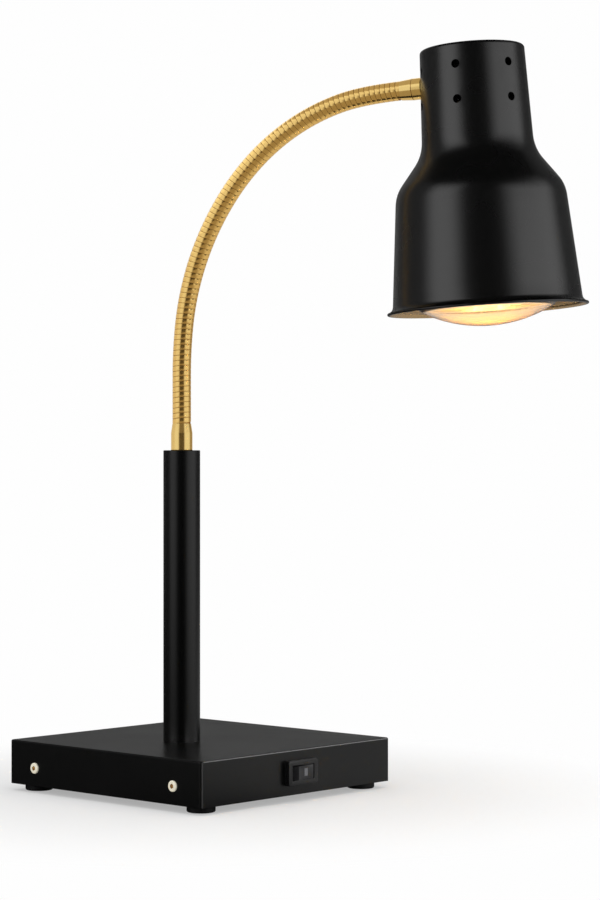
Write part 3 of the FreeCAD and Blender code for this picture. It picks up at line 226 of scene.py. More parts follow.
def graded_card(name, columns, rows):
    """A card bent round the lamp, which only reflections show: dull to the coat and lit to the brass.
    Columns are (angle, cover, dull, lit) and rows are (distance, height, cover, lit); the larger counts."""
    shell = bmesh.new()
    grade_layer = shell.verts.layers.float_vector.new("grade")
    corners = []
    for distance, height, row_cover, row_lit in rows:
        line = []
        for (start, *first), (end, *second) in zip(columns, columns[1:]):
            steps = max(1, round((end - start) / card_step))
            for step in range(steps + (end == columns[-1][0])):
                part = step / steps
                corner = shell.verts.new(round_the_lamp(start + (end - start) * part, distance, height))
                cover, dull, lit = (one + (two - one) * part for one, two in zip(first, second))
                corner[grade_layer] = (max(cover, row_cover), dull, max(lit, row_lit))
                line.append(corner)
        corners.append(line)
    for low, high in zip(corners, corners[1:]):
        for column in range(len(low) - 1):
            shell.faces.new((low[column], low[column + 1], high[column + 1], high[column]))
    mesh = bpy.data.meshes.new(name)
    shell.to_mesh(mesh)
    shell.free()
    material, tree = new_material(name)
    grade = add(tree, "ShaderNodeAttribute", {"attribute_name": "grade"})
    cover, dull, lit = add(tree, "ShaderNodeSeparateXYZ", _0=grade.outputs["Vector"]).outputs
    cloth = add(tree, "ShaderNodeBsdfDiffuse", Color=dull)
    warmth = add(tree, "ShaderNodeMix", {"data_type": "RGBA"}, Factor=lit, _6=colour("#ffd88c"),
                 _7=colour("#ffffff"))
    glow = add(tree, "ShaderNodeEmission", Color=warmth.outputs[2], Strength=lit)
    both = add(tree, "ShaderNodeAddShader", _0=cloth.outputs[0], _1=glow.outputs[0])
    gap = add(tree, "ShaderNodeBsdfTransparent")
    shown = add(tree, "ShaderNodeMixShader", _0=cover, _1=gap.outputs[0], _2=both.outputs[0])
    add(tree, "ShaderNodeOutputMaterial", Surface=shown.outputs[0])
    mesh.materials.append(material)
    piece = new_piece(name, mesh)
    piece.light_linking.receiver_collection = brass_pieces
    piece.visible_camera = False
    piece.visible_diffuse = False
    piece.visible_transmission = False
    piece.visible_shadow = False


card_distance = 2.6
ceiling_height = 3.2
floor_card_height = 0.5 * MM
# The wall cards are lit at the foot, and their columns alone count from 0.28 to 1.05 m.
foot_rows = [(card_distance, height, 0, lit)
             for height, lit in ((-0.3, 0.45), (0.1, 0.4), (0.28, 0), (1.05, 0))]
top_row = (card_distance, ceiling_height, 1, 0.6)
graded_card("left_wall_card",
            [(-210, 1, 0.25, 0.6), (-150, 1, 0.25, 0.6), (-149, 1, 0.15, 0.7), (-84, 1, 0.16, 0.75),
             (-66, 0, 0.2, 0.9), (-40, 0, 0.0, 0.8), (-22, 1, 0.04, 0.05), (0, 1, 0.04, 0.05)],
            foot_rows + [(card_distance, 1.8, 0, 1.2), (card_distance, 2.6, 0.5, 1.2), top_row])
graded_card("right_wall_card",
            [(0, 1, 0.04, 0.05), (24, 1, 0.04, 0.05), (44, 0, 0.0, 1.0), (88, 0, 0.2, 0.5),
             (108, 1, 0.13, 0.3), (149, 1, 0.13, 0.3), (150, 1, 0.25, 0.6)],
            foot_rows + [(card_distance, 1.8, 0.5, 1.2), (card_distance, 2.6, 1, 1.2), top_row])
graded_card("ceiling_card",
            [(-180, 1, 0.02, 0.55), (180, 1, 0.02, 0.55)],
            [(card_distance, ceiling_height, 1, 0.55), (10 * MM, ceiling_height, 1, 0.55)])
graded_card("floor_card",
            [(-180, 1, 0.05, 0.4), (-58, 1, 0.05, 0.4), (-20, 1, 0.0, 0.3), (20, 1, 0.0, 0.3),
             (66, 1, 0.46, 0.4), (180, 1, 0.42, 0.4)],
            [(1 * MM, floor_card_height, 1, 0.42), (card_distance, floor_card_height, 1, 0.42)])

# ---- Base -------------------------------------------------------------------------------------
# A folded steel cover over a flat tray, both powder coated in satin black after welding. The coat
# is a fine orange peel that spreads a lamp's reflection into a soft grey.


def powder_coat(name, code, grain, roughness, gloss_level):
    """Cured powder coat: pigment in polyester resin, levelled into a fine peel with a soft gloss. The peel
    is drawn coarser than it is, so that it shows."""
    material, tree = new_material(name)
    place = add(tree, "ShaderNodeTexCoord")
    peel = add(tree, "ShaderNodeTexNoise", Vector=place.outputs["Object"], Scale=1 / grain, Detail=3.0,
               Roughness=0.55)
    cloud = add(tree, "ShaderNodeTexNoise", Vector=place.outputs["Object"], Scale=1 / (60 * MM), Detail=2.0)
    gloss = add(tree, "ShaderNodeMapRange", _0=cloud.outputs[0], To_Min=roughness - 0.03,
                To_Max=roughness + 0.03)
    bump = add(tree, "ShaderNodeBump", Strength=0.1, Distance=0.05 * MM, Height=peel.outputs[0])
    coat = add(tree, "ShaderNodeBsdfPrincipled", Base_Color=colour(code), Roughness=gloss.outputs[0],
               IOR=1.5, Specular_IOR_Level=gloss_level, Normal=bump.outputs[0])
    add(tree, "ShaderNodeOutputMaterial", Surface=coat.outputs[0])
    return material


def dress(material, *names):
    """Gives CAD nodes their finish."""
    for name in names:
        nodes[name].data.materials.clear()
        nodes[name].data.materials.append(material)


satin_black = powder_coat("satin_black_powder_coat", "#040404", grain=1.6 * MM, roughness=0.3,
                          gloss_level=0.5)
dress(satin_black, "base_cover", "base_tray")


def fine_finish(name, code, roughness, metallic=0.0, grain=0.5 * MM, **more):
    """A moulded, rolled or plated surface with a fine grain of its own."""
    material, tree = new_material(name)
    place = add(tree, "ShaderNodeTexCoord")
    noise = add(tree, "ShaderNodeTexNoise", Vector=place.outputs["Object"], Scale=1 / grain, Detail=2.0)
    gloss = add(tree, "ShaderNodeMapRange", _0=noise.outputs[0], To_Min=roughness - 0.05,
                To_Max=roughness + 0.05)
    bump = add(tree, "ShaderNodeBump", Strength=0.3, Distance=0.02 * MM, Height=noise.outputs[0])
    body = add(tree, "ShaderNodeBsdfPrincipled", Base_Color=colour(code), Roughness=gloss.outputs[0],
               Metallic=metallic, Normal=bump.outputs[0], **more)
    add(tree, "ShaderNodeOutputMaterial", Surface=body.outputs[0])
    return material


# Compression-moulded nitrile feet: a dull skin that scatters light widely.
rubber = fine_finish("moulded_rubber", "#0d0d0d", roughness=0.62)
dress(rubber, "rubber_feet")
# Bright zinc over cold-rolled steel: a cool grey, smooth but never sharp.
zinc = fine_finish("zinc_plated_steel", "#b4b6ba", roughness=0.32, metallic=1.0)
dress(zinc, "ballast_plate", "ballast_screws", "foot_screws")

# ---- Side screws ------------------------------------------------------------------------------
# Four button-head screws of pale brass with hex sockets hold the cover to the tray, two on each side.
# One turned head with a broached socket is repeated at the four holes.

# Two corners nearer than this are one.
hair = 0.001 * MM


def turned(name, outline, materials, axis=Vector((0, 0, 1)), foot=Vector((0, 0, 0)), steps=64):
    """A closed solid turned about an axis through a foot point. The outline is a ring of
    (radius, height, material) corners, walked with the solid on its left."""
    side = axis.orthogonal().normalized()
    other = axis.cross(side)
    shell = bmesh.new()
    turns = [step * 2 * math.pi / steps for step in range(steps)]
    spokes = [side * math.cos(turn) + other * math.sin(turn) for turn in turns]
    rings = []
    for radius, height, _ in outline:
        centre = foot + axis * height
        if radius < hair:
            rings.append([shell.verts.new(centre)] * steps)
        else:
            rings.append([shell.verts.new(centre + spoke * radius) for spoke in spokes])
    for row, (_, _, index) in enumerate(outline):
        here, there = rings[row], rings[(row + 1) % len(rings)]
        for step in range(steps):
            after = (step + 1) % steps
            corners = list(dict.fromkeys((here[step], here[after], there[after], there[step])))
            if len(corners) > 2:
                shell.faces.new(corners).material_index = index
    bmesh.ops.recalc_face_normals(shell, faces=shell.faces)
    mesh = bpy.data.meshes.new(name)
    shell.to_mesh(mesh)
    shell.free()
    for material in materials:
        mesh.materials.append(material)
    for face in mesh.polygons:
        face.use_smooth = True
    mesh.set_sharp_from_angle(angle=math.radians(32))
    return mesh


def arc(start, end, radius, steps, index=0):
    """Corners along an arc from its start up to, but not at, its end. A positive radius has its centre
    on the left."""
    here, there = Vector(start), Vector(end)
    chord = there - here
    rise = math.sqrt(max(radius * radius - chord.length_squared / 4, 0))
    centre = (here + there) / 2 + Vector((-chord.y, chord.x)).normalized() * math.copysign(rise, radius)
    first = math.atan2(here.y - centre.y, here.x - centre.x)
    sweep = math.remainder(math.atan2(there.y - centre.y, there.x - centre.x) - first, 2 * math.pi)
    turns = [first + sweep * step / steps for step in range(steps)]
    return [(centre.x + abs(radius) * math.cos(turn), centre.y + abs(radius) * math.sin(turn), index)
            for turn in turns]


# Turned brass, lacquered, with a soft sheen that does not mirror. Its almost white tone is partly painted
# sheen, standing in for the light the heads catch.
screw_brass_painted_sheen = fine_finish("tumbled_screw_brass", "#fffbe8", roughness=0.42, metallic=0.3)
# The broached socket is painted a darker brass, painted shade in the recess; its tool marks keep it dull.
socket_painted_shade = fine_finish("shadowed_socket_brass", "#b08850", roughness=0.6, metallic=0.6)
head_radius = 4.7 * MM
head_height = 1.5 * MM
head_round = 1.0 * MM
socket_radius = 2.1 * MM
socket_land = 0.5 * MM
socket_depth = 1.0 * MM
socket_floor = head_height - socket_depth
shank_radius = 2.5 * MM
shank_length = 7 * MM
head_outline = [(0, socket_floor, 1), (socket_radius, socket_floor, 1), (socket_radius, head_height, 0),
                (socket_radius + socket_land, head_height, 0)]
head_outline += arc((head_radius - head_round, head_height), (head_radius, head_height - head_round),
                    -head_round, steps=6)
head_outline += [(head_radius, head_height - head_round, 0), (head_radius, 0, 0), (shank_radius, 0, 0),
                 (shank_radius, -shank_length, 0), (0, -shank_length, 0)]
head_mesh = turned("button_head", head_outline, [screw_brass_painted_sheen, socket_painted_shade], steps=48)
# The socket's ring of the head is drawn in from a circle to a hexagon.
for point in head_mesh.vertices:
    out = Vector((point.co.x, point.co.y))
    if abs(out.length - socket_radius) < hair and point.co.z > 0:
        turn = math.atan2(out.y, out.x) % (math.pi / 3) - math.pi / 6
        out *= math.cos(math.pi / 6) / math.cos(turn)
        point.co.x, point.co.y = out
head_stock = bpy.data.objects.new("button_head_stock", head_mesh)

setting = bpy.data.node_groups.new("screw_setting", "GeometryNodeTree")
setting.interface.new_socket("Seats", in_out="INPUT", socket_type="NodeSocketGeometry")
setting.interface.new_socket("Screw", in_out="INPUT", socket_type="NodeSocketObject")
setting.interface.new_socket("Set screws", in_out="OUTPUT", socket_type="NodeSocketGeometry")
given = setting.nodes.new("NodeGroupInput").outputs
screw = add(setting, "GeometryNodeObjectInfo", Object=given["Screw"])
facing = add(setting, "GeometryNodeInputNamedAttribute", {"data_type": "FLOAT_VECTOR"}, Name="facing")
aimed = add(setting, "FunctionNodeAlignRotationToVector", {"axis": "Z"}, Vector=facing.outputs[0])
set_down = add(setting, "GeometryNodeInstanceOnPoints", Points=given["Seats"],
               Instance=screw.outputs["Geometry"], Rotation=aimed.outputs[0])
real = add(setting, "GeometryNodeRealizeInstances", Geometry=set_down.outputs[0])
setting.links.new(real.outputs[0], setting.nodes.new("NodeGroupOutput").inputs[0])


def made_by(host, tree, **inputs):
    """The plain mesh that a Geometry Nodes tree makes from a host object."""
    modifier = host.modifiers.new("made", "NODES")
    modifier.node_group = tree
    for item in tree.interface.items_tree:
        if item.in_out == "INPUT" and item.name.replace(" ", "_") in inputs:
            modifier[item.identifier] = inputs[item.name.replace(" ", "_")]
    bpy.context.view_layer.update()
    mesh = bpy.data.meshes.new_from_object(host.evaluated_get(bpy.context.evaluated_depsgraph_get()))
    host.modifiers.remove(modifier)
    return mesh


screw_low, screw_high = (Vector(corner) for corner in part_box("side_screws"))
seats = bpy.data.meshes.new("screw_seats")
seat_height = (screw_low.z + screw_high.z) / 2
screw_inset = 5.0 * MM
seat_rows = (screw_low.y + screw_inset, screw_high.y - screw_inset)
seats.from_pydata([(wall, row, seat_height) for wall in (cover_low.x, cover_high.x) for row in seat_rows],
                  [], [])
seats.attributes.new("facing", "FLOAT_VECTOR", "POINT").data.foreach_set(
    "vector", [-1, 0, 0] * 2 + [1, 0, 0] * 2)
seat_piece = new_piece("screw_seats", seats)
screws = new_piece("side_screw_heads", made_by(seat_piece, setting, Screw=head_stock))
bpy.data.objects.remove(seat_piece)
bpy.data.objects.remove(head_stock)
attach(screws, "base")
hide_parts("side_screws")

# ---- Cord gland and terminals -----------------------------------------------------------------
# A black nylon gland in the rear wall lets the supply cord in. The cord's wires meet the neck's in a
# white block on the tray.

# Moulded polyamide, black right through, with a soft gloss off the mould.
black_nylon = fine_finish("moulded_black_nylon", "#0a0a0a", roughness=0.4)
dress(black_nylon, "gland_body", "gland_dome_nut", "gland_locknut")
dress(rubber, "gland_seal")
# The same undyed: a soft white that is never pure.
white_nylon = fine_finish("moulded_white_polyamide", "#dad8d0", roughness=0.45)
dress(white_nylon, "terminal_block")
dress(zinc, "terminal_screws")

# ---- Rocker switch ----------------------------------------------------------------------------
# A snap-in rocker switch in the front wall: a glossy black frame, a satin rocker that leans to one
# side, and a small smoked window in it. Frame and rocker get the small rounds of their moulds.


def eased(node, name, edge, material):
    """A piece of the same shape as a CAD node, its sharp edges eased by a small round."""
    shell = bmesh.new()
    shell.from_mesh(nodes[node].data)
    bmesh.ops.remove_doubles(shell, verts=shell.verts, dist=hair)
    bmesh.ops.dissolve_limit(shell, angle_limit=math.radians(1), verts=shell.verts, edges=shell.edges)
    mesh = bpy.data.meshes.new(name)
    shell.to_mesh(mesh)
    shell.free()
    mesh.materials.append(material)
    blank = new_piece(f"{name}_blank", mesh)
    rounding = blank.modifiers.new("rounding", "BEVEL")
    rounding.width = edge
    rounding.segments = 3
    rounding.limit_method = "ANGLE"
    rounding.angle_limit = math.radians(40)
    bpy.context.view_layer.update()
    rounded = bpy.data.meshes.new_from_object(blank.evaluated_get(bpy.context.evaluated_depsgraph_get()))
    bpy.data.objects.remove(blank)
    for face in rounded.polygons:
        face.use_smooth = True
    rounded.set_sharp_from_angle(angle=math.radians(30))
    piece = new_piece(name, rounded)
    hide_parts(node)
    return piece


# Polycarbonate off a polished mould for the frame, and off an etched one for the rocker.
switch_black = fine_finish("gloss_moulded_polycarbonate", "#101011", roughness=0.24, grain=1.0 * MM,
                           Specular_IOR_Level=0.8)
rocker_black = fine_finish("satin_moulded_polycarbonate", "#1a1a1c", roughness=0.3, grain=0.8 * MM,
                           Specular_IOR_Level=0.8)
switch_frame = eased("switch_housing", "switch_frame", 0.7 * MM, switch_black)
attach(switch_frame, "base")
rocker_cap = eased("switch_rocker", "rocker_cap", 0.35 * MM, rocker_black)
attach(rocker_cap, "rocker")
# The window is smoked, and reads as plain grey while its lamp is out.
window_plastic = fine_finish("smoked_window", "#6f6f72", roughness=0.3)
dress(window_plastic, "rocker_window")
# Drawn brass, bare and a little tarnished.
contact = fine_finish("drawn_contact_brass", "#c9a250", roughness=0.28, metallic=1.0)
dress(contact, "switch_terminals")

# ---- Pole -------------------------------------------------------------------------------------
# A drawn steel tube that a stud pulls down onto the base, with a turned cap pressed into its top. Both
# get the base's satin coat.

dress(satin_black, "pole_tube", "pole_cap")
dress(zinc, "pole_foot_plug", "pole_stud", "pole_washer", "pole_nut")

# ---- Foot ferrule -----------------------------------------------------------------------------
# A turned brass sleeve, held in the pole's cap by a hollow nipple, takes the foot of the gooseneck. It is
# brushed round on the lathe and lacquered, which gives it a soft sheen with a warm, slightly dark middle.


def turned_brass(name, foot, axis, line_at):
    """Brass off the lathe: fine rings round its axis, and one turned line at a distance from its foot,
    where a darker brass is painted shade in the groove.
    """
    material, tree = new_material(name)
    place = add(tree, "ShaderNodeTexCoord")
    arm = add(tree, "ShaderNodeVectorMath", {"operation": "SUBTRACT"}, _0=place.outputs["Object"],
              _1=tuple(foot))
    along = add(tree, "ShaderNodeVectorMath", {"operation": "DOT_PRODUCT"}, _0=arm.outputs[0],
                _1=tuple(axis))
    rings = add(tree, "ShaderNodeTexNoise", {"noise_dimensions": "1D"}, W=along.outputs["Value"],
                Scale=1 / (0.7 * MM), Detail=2.0)
    cloud = add(tree, "ShaderNodeTexNoise", Vector=place.outputs["Object"], Scale=1 / (9 * MM), Detail=3.0)
    offset = add(tree, "ShaderNodeMath", {"operation": "SUBTRACT"}, _0=along.outputs["Value"], _1=line_at)
    aside = add(tree, "ShaderNodeMath", {"operation": "ABSOLUTE"}, _0=offset.outputs[0])
    clear = add(tree, "ShaderNodeMapRange", {"interpolation_type": "SMOOTHSTEP"}, _0=aside.outputs[0],
                From_Min=0.1 * MM, From_Max=0.45 * MM)
    gloss = add(tree, "ShaderNodeMapRange", _0=cloud.outputs[0], To_Min=0.1, To_Max=0.17)
    tint = add(tree, "ShaderNodeMix", {"data_type": "RGBA"}, Factor=cloud.outputs[0], _6=colour("#eccf88"),
               _7=colour("#e2c278"))
    # The band round the turned line is painted a darker brass: painted shade in the groove.
    painted_groove_shade = add(tree, "ShaderNodeMix", {"data_type": "RGBA"}, Factor=clear.outputs[0],
                 _6=colour("#b48c48"), _7=tint.outputs[2])
    fine = add(tree, "ShaderNodeBump", Strength=0.1, Distance=0.03 * MM, Height=rings.outputs[0])
    cut = add(tree, "ShaderNodeBump", Strength=0.6, Distance=0.2 * MM, Height=clear.outputs[0],
              Normal=fine.outputs[0])
    metal = add(tree, "ShaderNodeBsdfPrincipled", Base_Color=painted_groove_shade.outputs[2], Roughness=gloss.outputs[0],
                Metallic=1.0, Normal=cut.outputs[0])
    add(tree, "ShaderNodeOutputMaterial", Surface=metal.outputs[0])
    return material


ferrule_low, ferrule_high = (Vector(corner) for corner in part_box("lower_ferrule"))
ferrule_foot = Vector(((ferrule_low.x + ferrule_high.x) / 2, (ferrule_low.y + ferrule_high.y) / 2,
                       ferrule_low.z))
# Its turned line lies at its very foot, so a thin painted shade darkens it where it meets the pole's cap.
foot_brass = turned_brass("turned_brass_foot_ferrule", ferrule_foot, axis=(0, 0, 1), line_at=0.0)
dress(foot_brass, "lower_ferrule")
dress(zinc, "lower_nipple", "lower_nipple_nut")

# ---- Gooseneck --------------------------------------------------------------------------------
# Crowned brass strip wound close over a darker inner winding. Every hinge of the frame gets one
# stretch of it, from the middle of the link below to the middle of the link above.

neck_radius = 8.1 * MM
turn_pitch = 4.55 * MM
strip_share = 0.91
strip_crown = 0.11 * MM
crown_corners = 7
turn_corners = 40
core_depth = 0.42 * MM
core_corners = 32
core_stations = 12

# Rolled brass strip, lacquered after winding: a bright, clean yellow.
neck_brass = fine_finish("wound_brass_strip", "#e8c478", roughness=0.17, metallic=1.0, grain=1.2 * MM)
# The inner winding: a dull brown, darker than the strip, that shows between the turns.
neck_core = fine_finish("tarnished_inner_winding", "#a87636", roughness=0.5, metallic=0.9)

winding = bpy.data.node_groups.new("wound_strip", "GeometryNodeTree")
winding.interface.new_socket("Path", in_out="INPUT", socket_type="NodeSocketGeometry")
for name, kind in (("Radius", "Float"), ("Pitch", "Float"), ("Crown", "Float"), ("Strip width", "Float"),
                   ("Core depth", "Float"), ("Wound before", "Float"), ("Side", "Vector"),
                   ("Strip", "Material"), ("Core", "Material")):
    winding.interface.new_socket(name, in_out="INPUT", socket_type=f"NodeSocket{kind}")
winding.interface.new_socket("Wound neck", in_out="OUTPUT", socket_type="NodeSocketGeometry")
given = winding.nodes.new("NodeGroupInput").outputs
# The path is cut into as many points as its turns need, and each point gets a spoke, which turns by the
# length wound up to it.
length = add(winding, "GeometryNodeCurveLength", Curve=given["Path"])
turns = add(winding, "ShaderNodeMath", {"operation": "DIVIDE"}, _0=length.outputs[0], _1=given["Pitch"])
count = add(winding, "ShaderNodeMath", {"operation": "MULTIPLY"}, _0=turns.outputs[0],
            _1=float(turn_corners))
whole = add(winding, "ShaderNodeMath", {"operation": "ROUND"}, _0=count.outputs[0])
line = add(winding, "GeometryNodeResampleCurve", Curve=given["Path"], Count=whole.outputs[0])
along = add(winding, "GeometryNodeSplineParameter")
wound = add(winding, "ShaderNodeMath", {"operation": "ADD"}, _0=along.outputs["Length"],
            _1=given["Wound before"])
share = add(winding, "ShaderNodeMath", {"operation": "DIVIDE"}, _0=wound.outputs[0], _1=given["Pitch"])
angle = add(winding, "ShaderNodeMath", {"operation": "MULTIPLY"}, _0=share.outputs[0], _1=2 * math.pi)
tangent = add(winding, "GeometryNodeInputTangent")
outward = add(winding, "ShaderNodeVectorMath", {"operation": "CROSS_PRODUCT"}, _0=tangent.outputs[0],
              _1=given["Side"])
cosine = add(winding, "ShaderNodeMath", {"operation": "COSINE"}, _0=angle.outputs[0])
sine = add(winding, "ShaderNodeMath", {"operation": "SINE"}, _0=angle.outputs[0])
aside = add(winding, "ShaderNodeVectorMath", {"operation": "SCALE"}, _0=given["Side"],
            Scale=cosine.outputs[0])
ahead = add(winding, "ShaderNodeVectorMath", {"operation": "SCALE"}, _0=outward.outputs[0],
            Scale=sine.outputs[0])
spoke = add(winding, "ShaderNodeVectorMath", {"operation": "ADD"}, _0=aside.outputs[0], _1=ahead.outputs[0])
# The points are moved out along their spokes, which makes the strip's middle line.
kept = winding.nodes.new("GeometryNodeCaptureAttribute")
kept.capture_items.new("VECTOR", "Spoke")
winding.links.new(line.outputs[0], kept.inputs[0])
winding.links.new(spoke.outputs[0], kept.inputs[1])
seat = add(winding, "ShaderNodeMath", {"operation": "SUBTRACT"}, _0=given["Radius"], _1=given["Crown"])
step = add(winding, "ShaderNodeVectorMath", {"operation": "SCALE"}, _0=kept.outputs[1],
           Scale=seat.outputs[0])
helix = add(winding, "GeometryNodeSetPosition", Geometry=kept.outputs[0], Offset=step.outputs[0])
faced = add(winding, "GeometryNodeSetCurveNormal", {"mode": "FREE"}, Curve=helix.outputs[0],
            Normal=kept.outputs[1])
# The strip's section is a shallow arc, closed flat underneath.
half = add(winding, "ShaderNodeMath", {"operation": "MULTIPLY"}, _0=given["Strip width"], _1=0.5)
minus = add(winding, "ShaderNodeMath", {"operation": "MULTIPLY"}, _0=half.outputs[0], _1=-1.0)
left_edge = add(winding, "ShaderNodeCombineXYZ", Y=minus.outputs[0])
crown_top = add(winding, "ShaderNodeCombineXYZ", X=given["Crown"])
right_edge = add(winding, "ShaderNodeCombineXYZ", Y=half.outputs[0])
crown = add(winding, "GeometryNodeCurveArc", {"mode": "POINTS"}, Resolution=crown_corners,
            Start=left_edge.outputs[0], Middle=crown_top.outputs[0], End=right_edge.outputs[0])
section = add(winding, "GeometryNodeSetSplineCyclic", Geometry=crown.outputs[0], Cyclic=True)
strip = add(winding, "GeometryNodeCurveToMesh", Curve=faced.outputs[0], Profile_Curve=section.outputs[0],
            Fill_Caps=True)
strip_made = add(winding, "GeometryNodeSetMaterial", Geometry=strip.outputs[0], Material=given["Strip"])
# The inner winding shows only as the floor of the grooves, so a plain tube does for it.
core_line = add(winding, "GeometryNodeResampleCurve", Curve=given["Path"], Count=core_stations)
core_radius = add(winding, "ShaderNodeMath", {"operation": "SUBTRACT"}, _0=given["Radius"],
                  _1=given["Core depth"])
ring = add(winding, "GeometryNodeCurvePrimitiveCircle", Resolution=core_corners,
           Radius=core_radius.outputs[0])
core = add(winding, "GeometryNodeCurveToMesh", Curve=core_line.outputs[0], Profile_Curve=ring.outputs[0],
           Fill_Caps=True)
core_made = add(winding, "GeometryNodeSetMaterial", Geometry=core.outputs[0], Material=given["Core"])
both = winding.nodes.new("GeometryNodeJoinGeometry")
winding.links.new(core_made.outputs[0], both.inputs[0])
winding.links.new(strip_made.outputs[0], both.inputs[0])
real = add(winding, "GeometryNodeRealizeInstances", Geometry=both.outputs[0])
winding.links.new(real.outputs[0], winding.nodes.new("NodeGroupOutput").inputs[0])


def spline_through(name, points):
    """A smooth path that starts at the first control point, ends at the last and turns by the others."""
    data = bpy.data.curves.new(name, "CURVE")
    data.dimensions = "3D"
    data.resolution_u = 24
    path = data.splines.new("NURBS")
    path.points.add(len(points) - 1)
    for point, place in zip(path.points, points):
        point.co = (*place, 1)
    path.order_u = 3
    path.use_endpoint_u = True
    return new_piece(name, data)


# The hinges in their order along the neck. The last of them carries the head.
joints = {joint["name"]: joint for joint in frame["joints"]}
bends = sorted((joint for joint in joints.values() if joint["name"].startswith("neck_")),
               key=lambda joint: (joint["child"] == "head", joint["child"]))
hinge_points = [Vector(joint["pos_m"]) for joint in bends]
neck_side = Vector(joints["neck_bend_1"]["axis"])
neck_out = Vector((neck_side.y, -neck_side.x, 0)).normalized()
neck_foot = ferrule_foot.copy()
neck_foot.z = ferrule_high.z
link_length = (hinge_points[1] - hinge_points[0]).length
# The neck still climbs by these degrees where it ends, and runs on past its last link's middle.
tip_climb = 3.4
neck_end_run = 13.65 * MM
tip_lean = math.radians(90 - tip_climb)
tip_way = neck_out * math.sin(tip_lean) + Vector((0, 0, math.cos(tip_lean)))
middles = [neck_foot]
middles += [(here + there) / 2 for here, there in zip(hinge_points, hinge_points[1:])]
middles.append(hinge_points[-1] + tip_way * (link_length / 2))
wound_before = 0.0
neck_pieces = []
neck_top = middles[-1] + tip_way * neck_end_run
for number, (joint, hinge) in enumerate(zip(bends, hinge_points)):
    last = number == len(bends) - 1
    end = neck_top if last else middles[number + 1]
    path = spline_through("neck_path", [middles[number], hinge, end])
    mesh = made_by(path, winding, Radius=neck_radius, Pitch=turn_pitch, Crown=strip_crown,
                   Strip_width=turn_pitch * strip_share, Core_depth=core_depth, Wound_before=wound_before,
                   Side=neck_side, Strip=neck_brass, Core=neck_core)
    wound_before += path.data.splines[0].calc_length()
    bpy.data.objects.remove(path)
    for face in mesh.polygons:
        face.use_smooth = True
    mesh.set_sharp_from_angle(angle=math.radians(40))
    piece = new_piece(f"gooseneck_turns_{number + 1}", mesh)
    neck_pieces.append(piece)
    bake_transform(piece)
    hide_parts("gooseneck_root" if number == 0 else f"gooseneck_link_{number}")
    if last:
        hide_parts("gooseneck_tip")

# ---- Head ferrule -----------------------------------------------------------------------------
# A sleeve turned like the one at the foot carries the shade. It widens from the strip to a plain sleeve,
# with a groove where the taper stops, and a hollow nipple and a nut hold it in the shade's neck.

taper_end = 10.8 * MM
sleeve_end = 18.7 * MM
sleeve_radius = 9.15 * MM
groove = 0.2 * MM
foot_chamfer = 0.15 * MM
ferrule_outline = [(0, 0, 0), (neck_radius, 0, 0), (neck_radius + foot_chamfer, foot_chamfer, 0),
                   (sleeve_radius, taper_end - groove, 0), (sleeve_radius - groove, taper_end, 0),
                   (sleeve_radius, taper_end + groove, 0), (sleeve_radius, sleeve_end, 0),
                   (0, sleeve_end, 0)]
# The turned line lies where the taper stops, and is darkened there as painted shade in the groove.
head_brass = turned_brass("turned_brass_head_ferrule", neck_top, axis=tip_way, line_at=taper_end)
head_ferrule = new_piece("head_ferrule", turned("head_ferrule", ferrule_outline, [head_brass], tip_way,
                                                neck_top))
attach(head_ferrule, "head")
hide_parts("upper_ferrule")
dress(zinc, "upper_nipple", "upper_nut", "saddle_washer")
for piece in [screws, nodes["lower_ferrule"], head_ferrule] + neck_pieces:
    brass_pieces.objects.link(piece)

# ---- Shade ------------------------------------------------------------------------------------
# Spun steel, powder coated black outside. Inside it is left light, as a reflector is, so the bulb's
# glow warms it.

# The base's coat in gloss, so that it shows a clear band of light.
shade_black = powder_coat("gloss_black_powder_coat", "#040404", grain=1.8 * MM, roughness=0.27,
                          gloss_level=1.0)
# A thin stoved enamel over bare metal: cream, with a dull sheen.
reflector_enamel = fine_finish("stoved_reflector_enamel", "#94826c", roughness=0.42, metallic=0.35,
                               grain=3.0 * MM)
# The rolled lip is burnished bare, and draws the bulb's light as a warm line.
lip_steel = fine_finish("burnished_lip", "#f0c890", roughness=0.28, metallic=1.0, grain=3.0 * MM)
# The head hangs square to the neck's end and rolled a little. The bulb's axis is the shade's own.
head_roll = math.radians(-1.0)
bulb_length = 172.5 * MM
head_back = -tip_way
head_across = -neck_side
head_up = Matrix.Rotation(head_roll, 3, head_back) @ head_back.cross(head_across).normalized()
tip_low, tip_high = (Vector(corner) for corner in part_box("bulb_tip"))
bulb_foot = (tip_low + tip_high) / 2 - head_up * bulb_length

# What faces the axis is enamelled up to a height over the bulb's foot, all but the lip. Above that height
# the inside keeps the black coat: painted shade that keeps the neck dark behind its vents.
reflector_height = 108 * MM
lip_height = 3.0 * MM
towards_axis = -0.05
shell = bmesh.new()
shell.from_mesh(nodes["shade"].data)
lip_level = min((corner.co - bulb_foot).dot(head_up) for corner in shell.verts) + lip_height
bmesh.ops.remove_doubles(shell, verts=shell.verts, dist=hair)
for face in shell.faces:
    from_axis = face.calc_center_median() - bulb_foot
    level = from_axis.dot(head_up)
    spoke = from_axis - head_up * level
    inward = level < reflector_height and face.normal.dot(spoke.normalized()) < towards_axis
    face.material_index = (2 if level < lip_level else 1) if inward else 0
    face.smooth = True
shade_mesh = bpy.data.meshes.new("shade_spinning")
shell.to_mesh(shade_mesh)
shell.free()
for material in (shade_black, reflector_enamel, lip_steel):
    shade_mesh.materials.append(material)
shade_mesh.set_sharp_from_angle(angle=math.radians(30))
shade = new_piece("shade_spinning", shade_mesh)
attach(shade, "head")
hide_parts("shade")

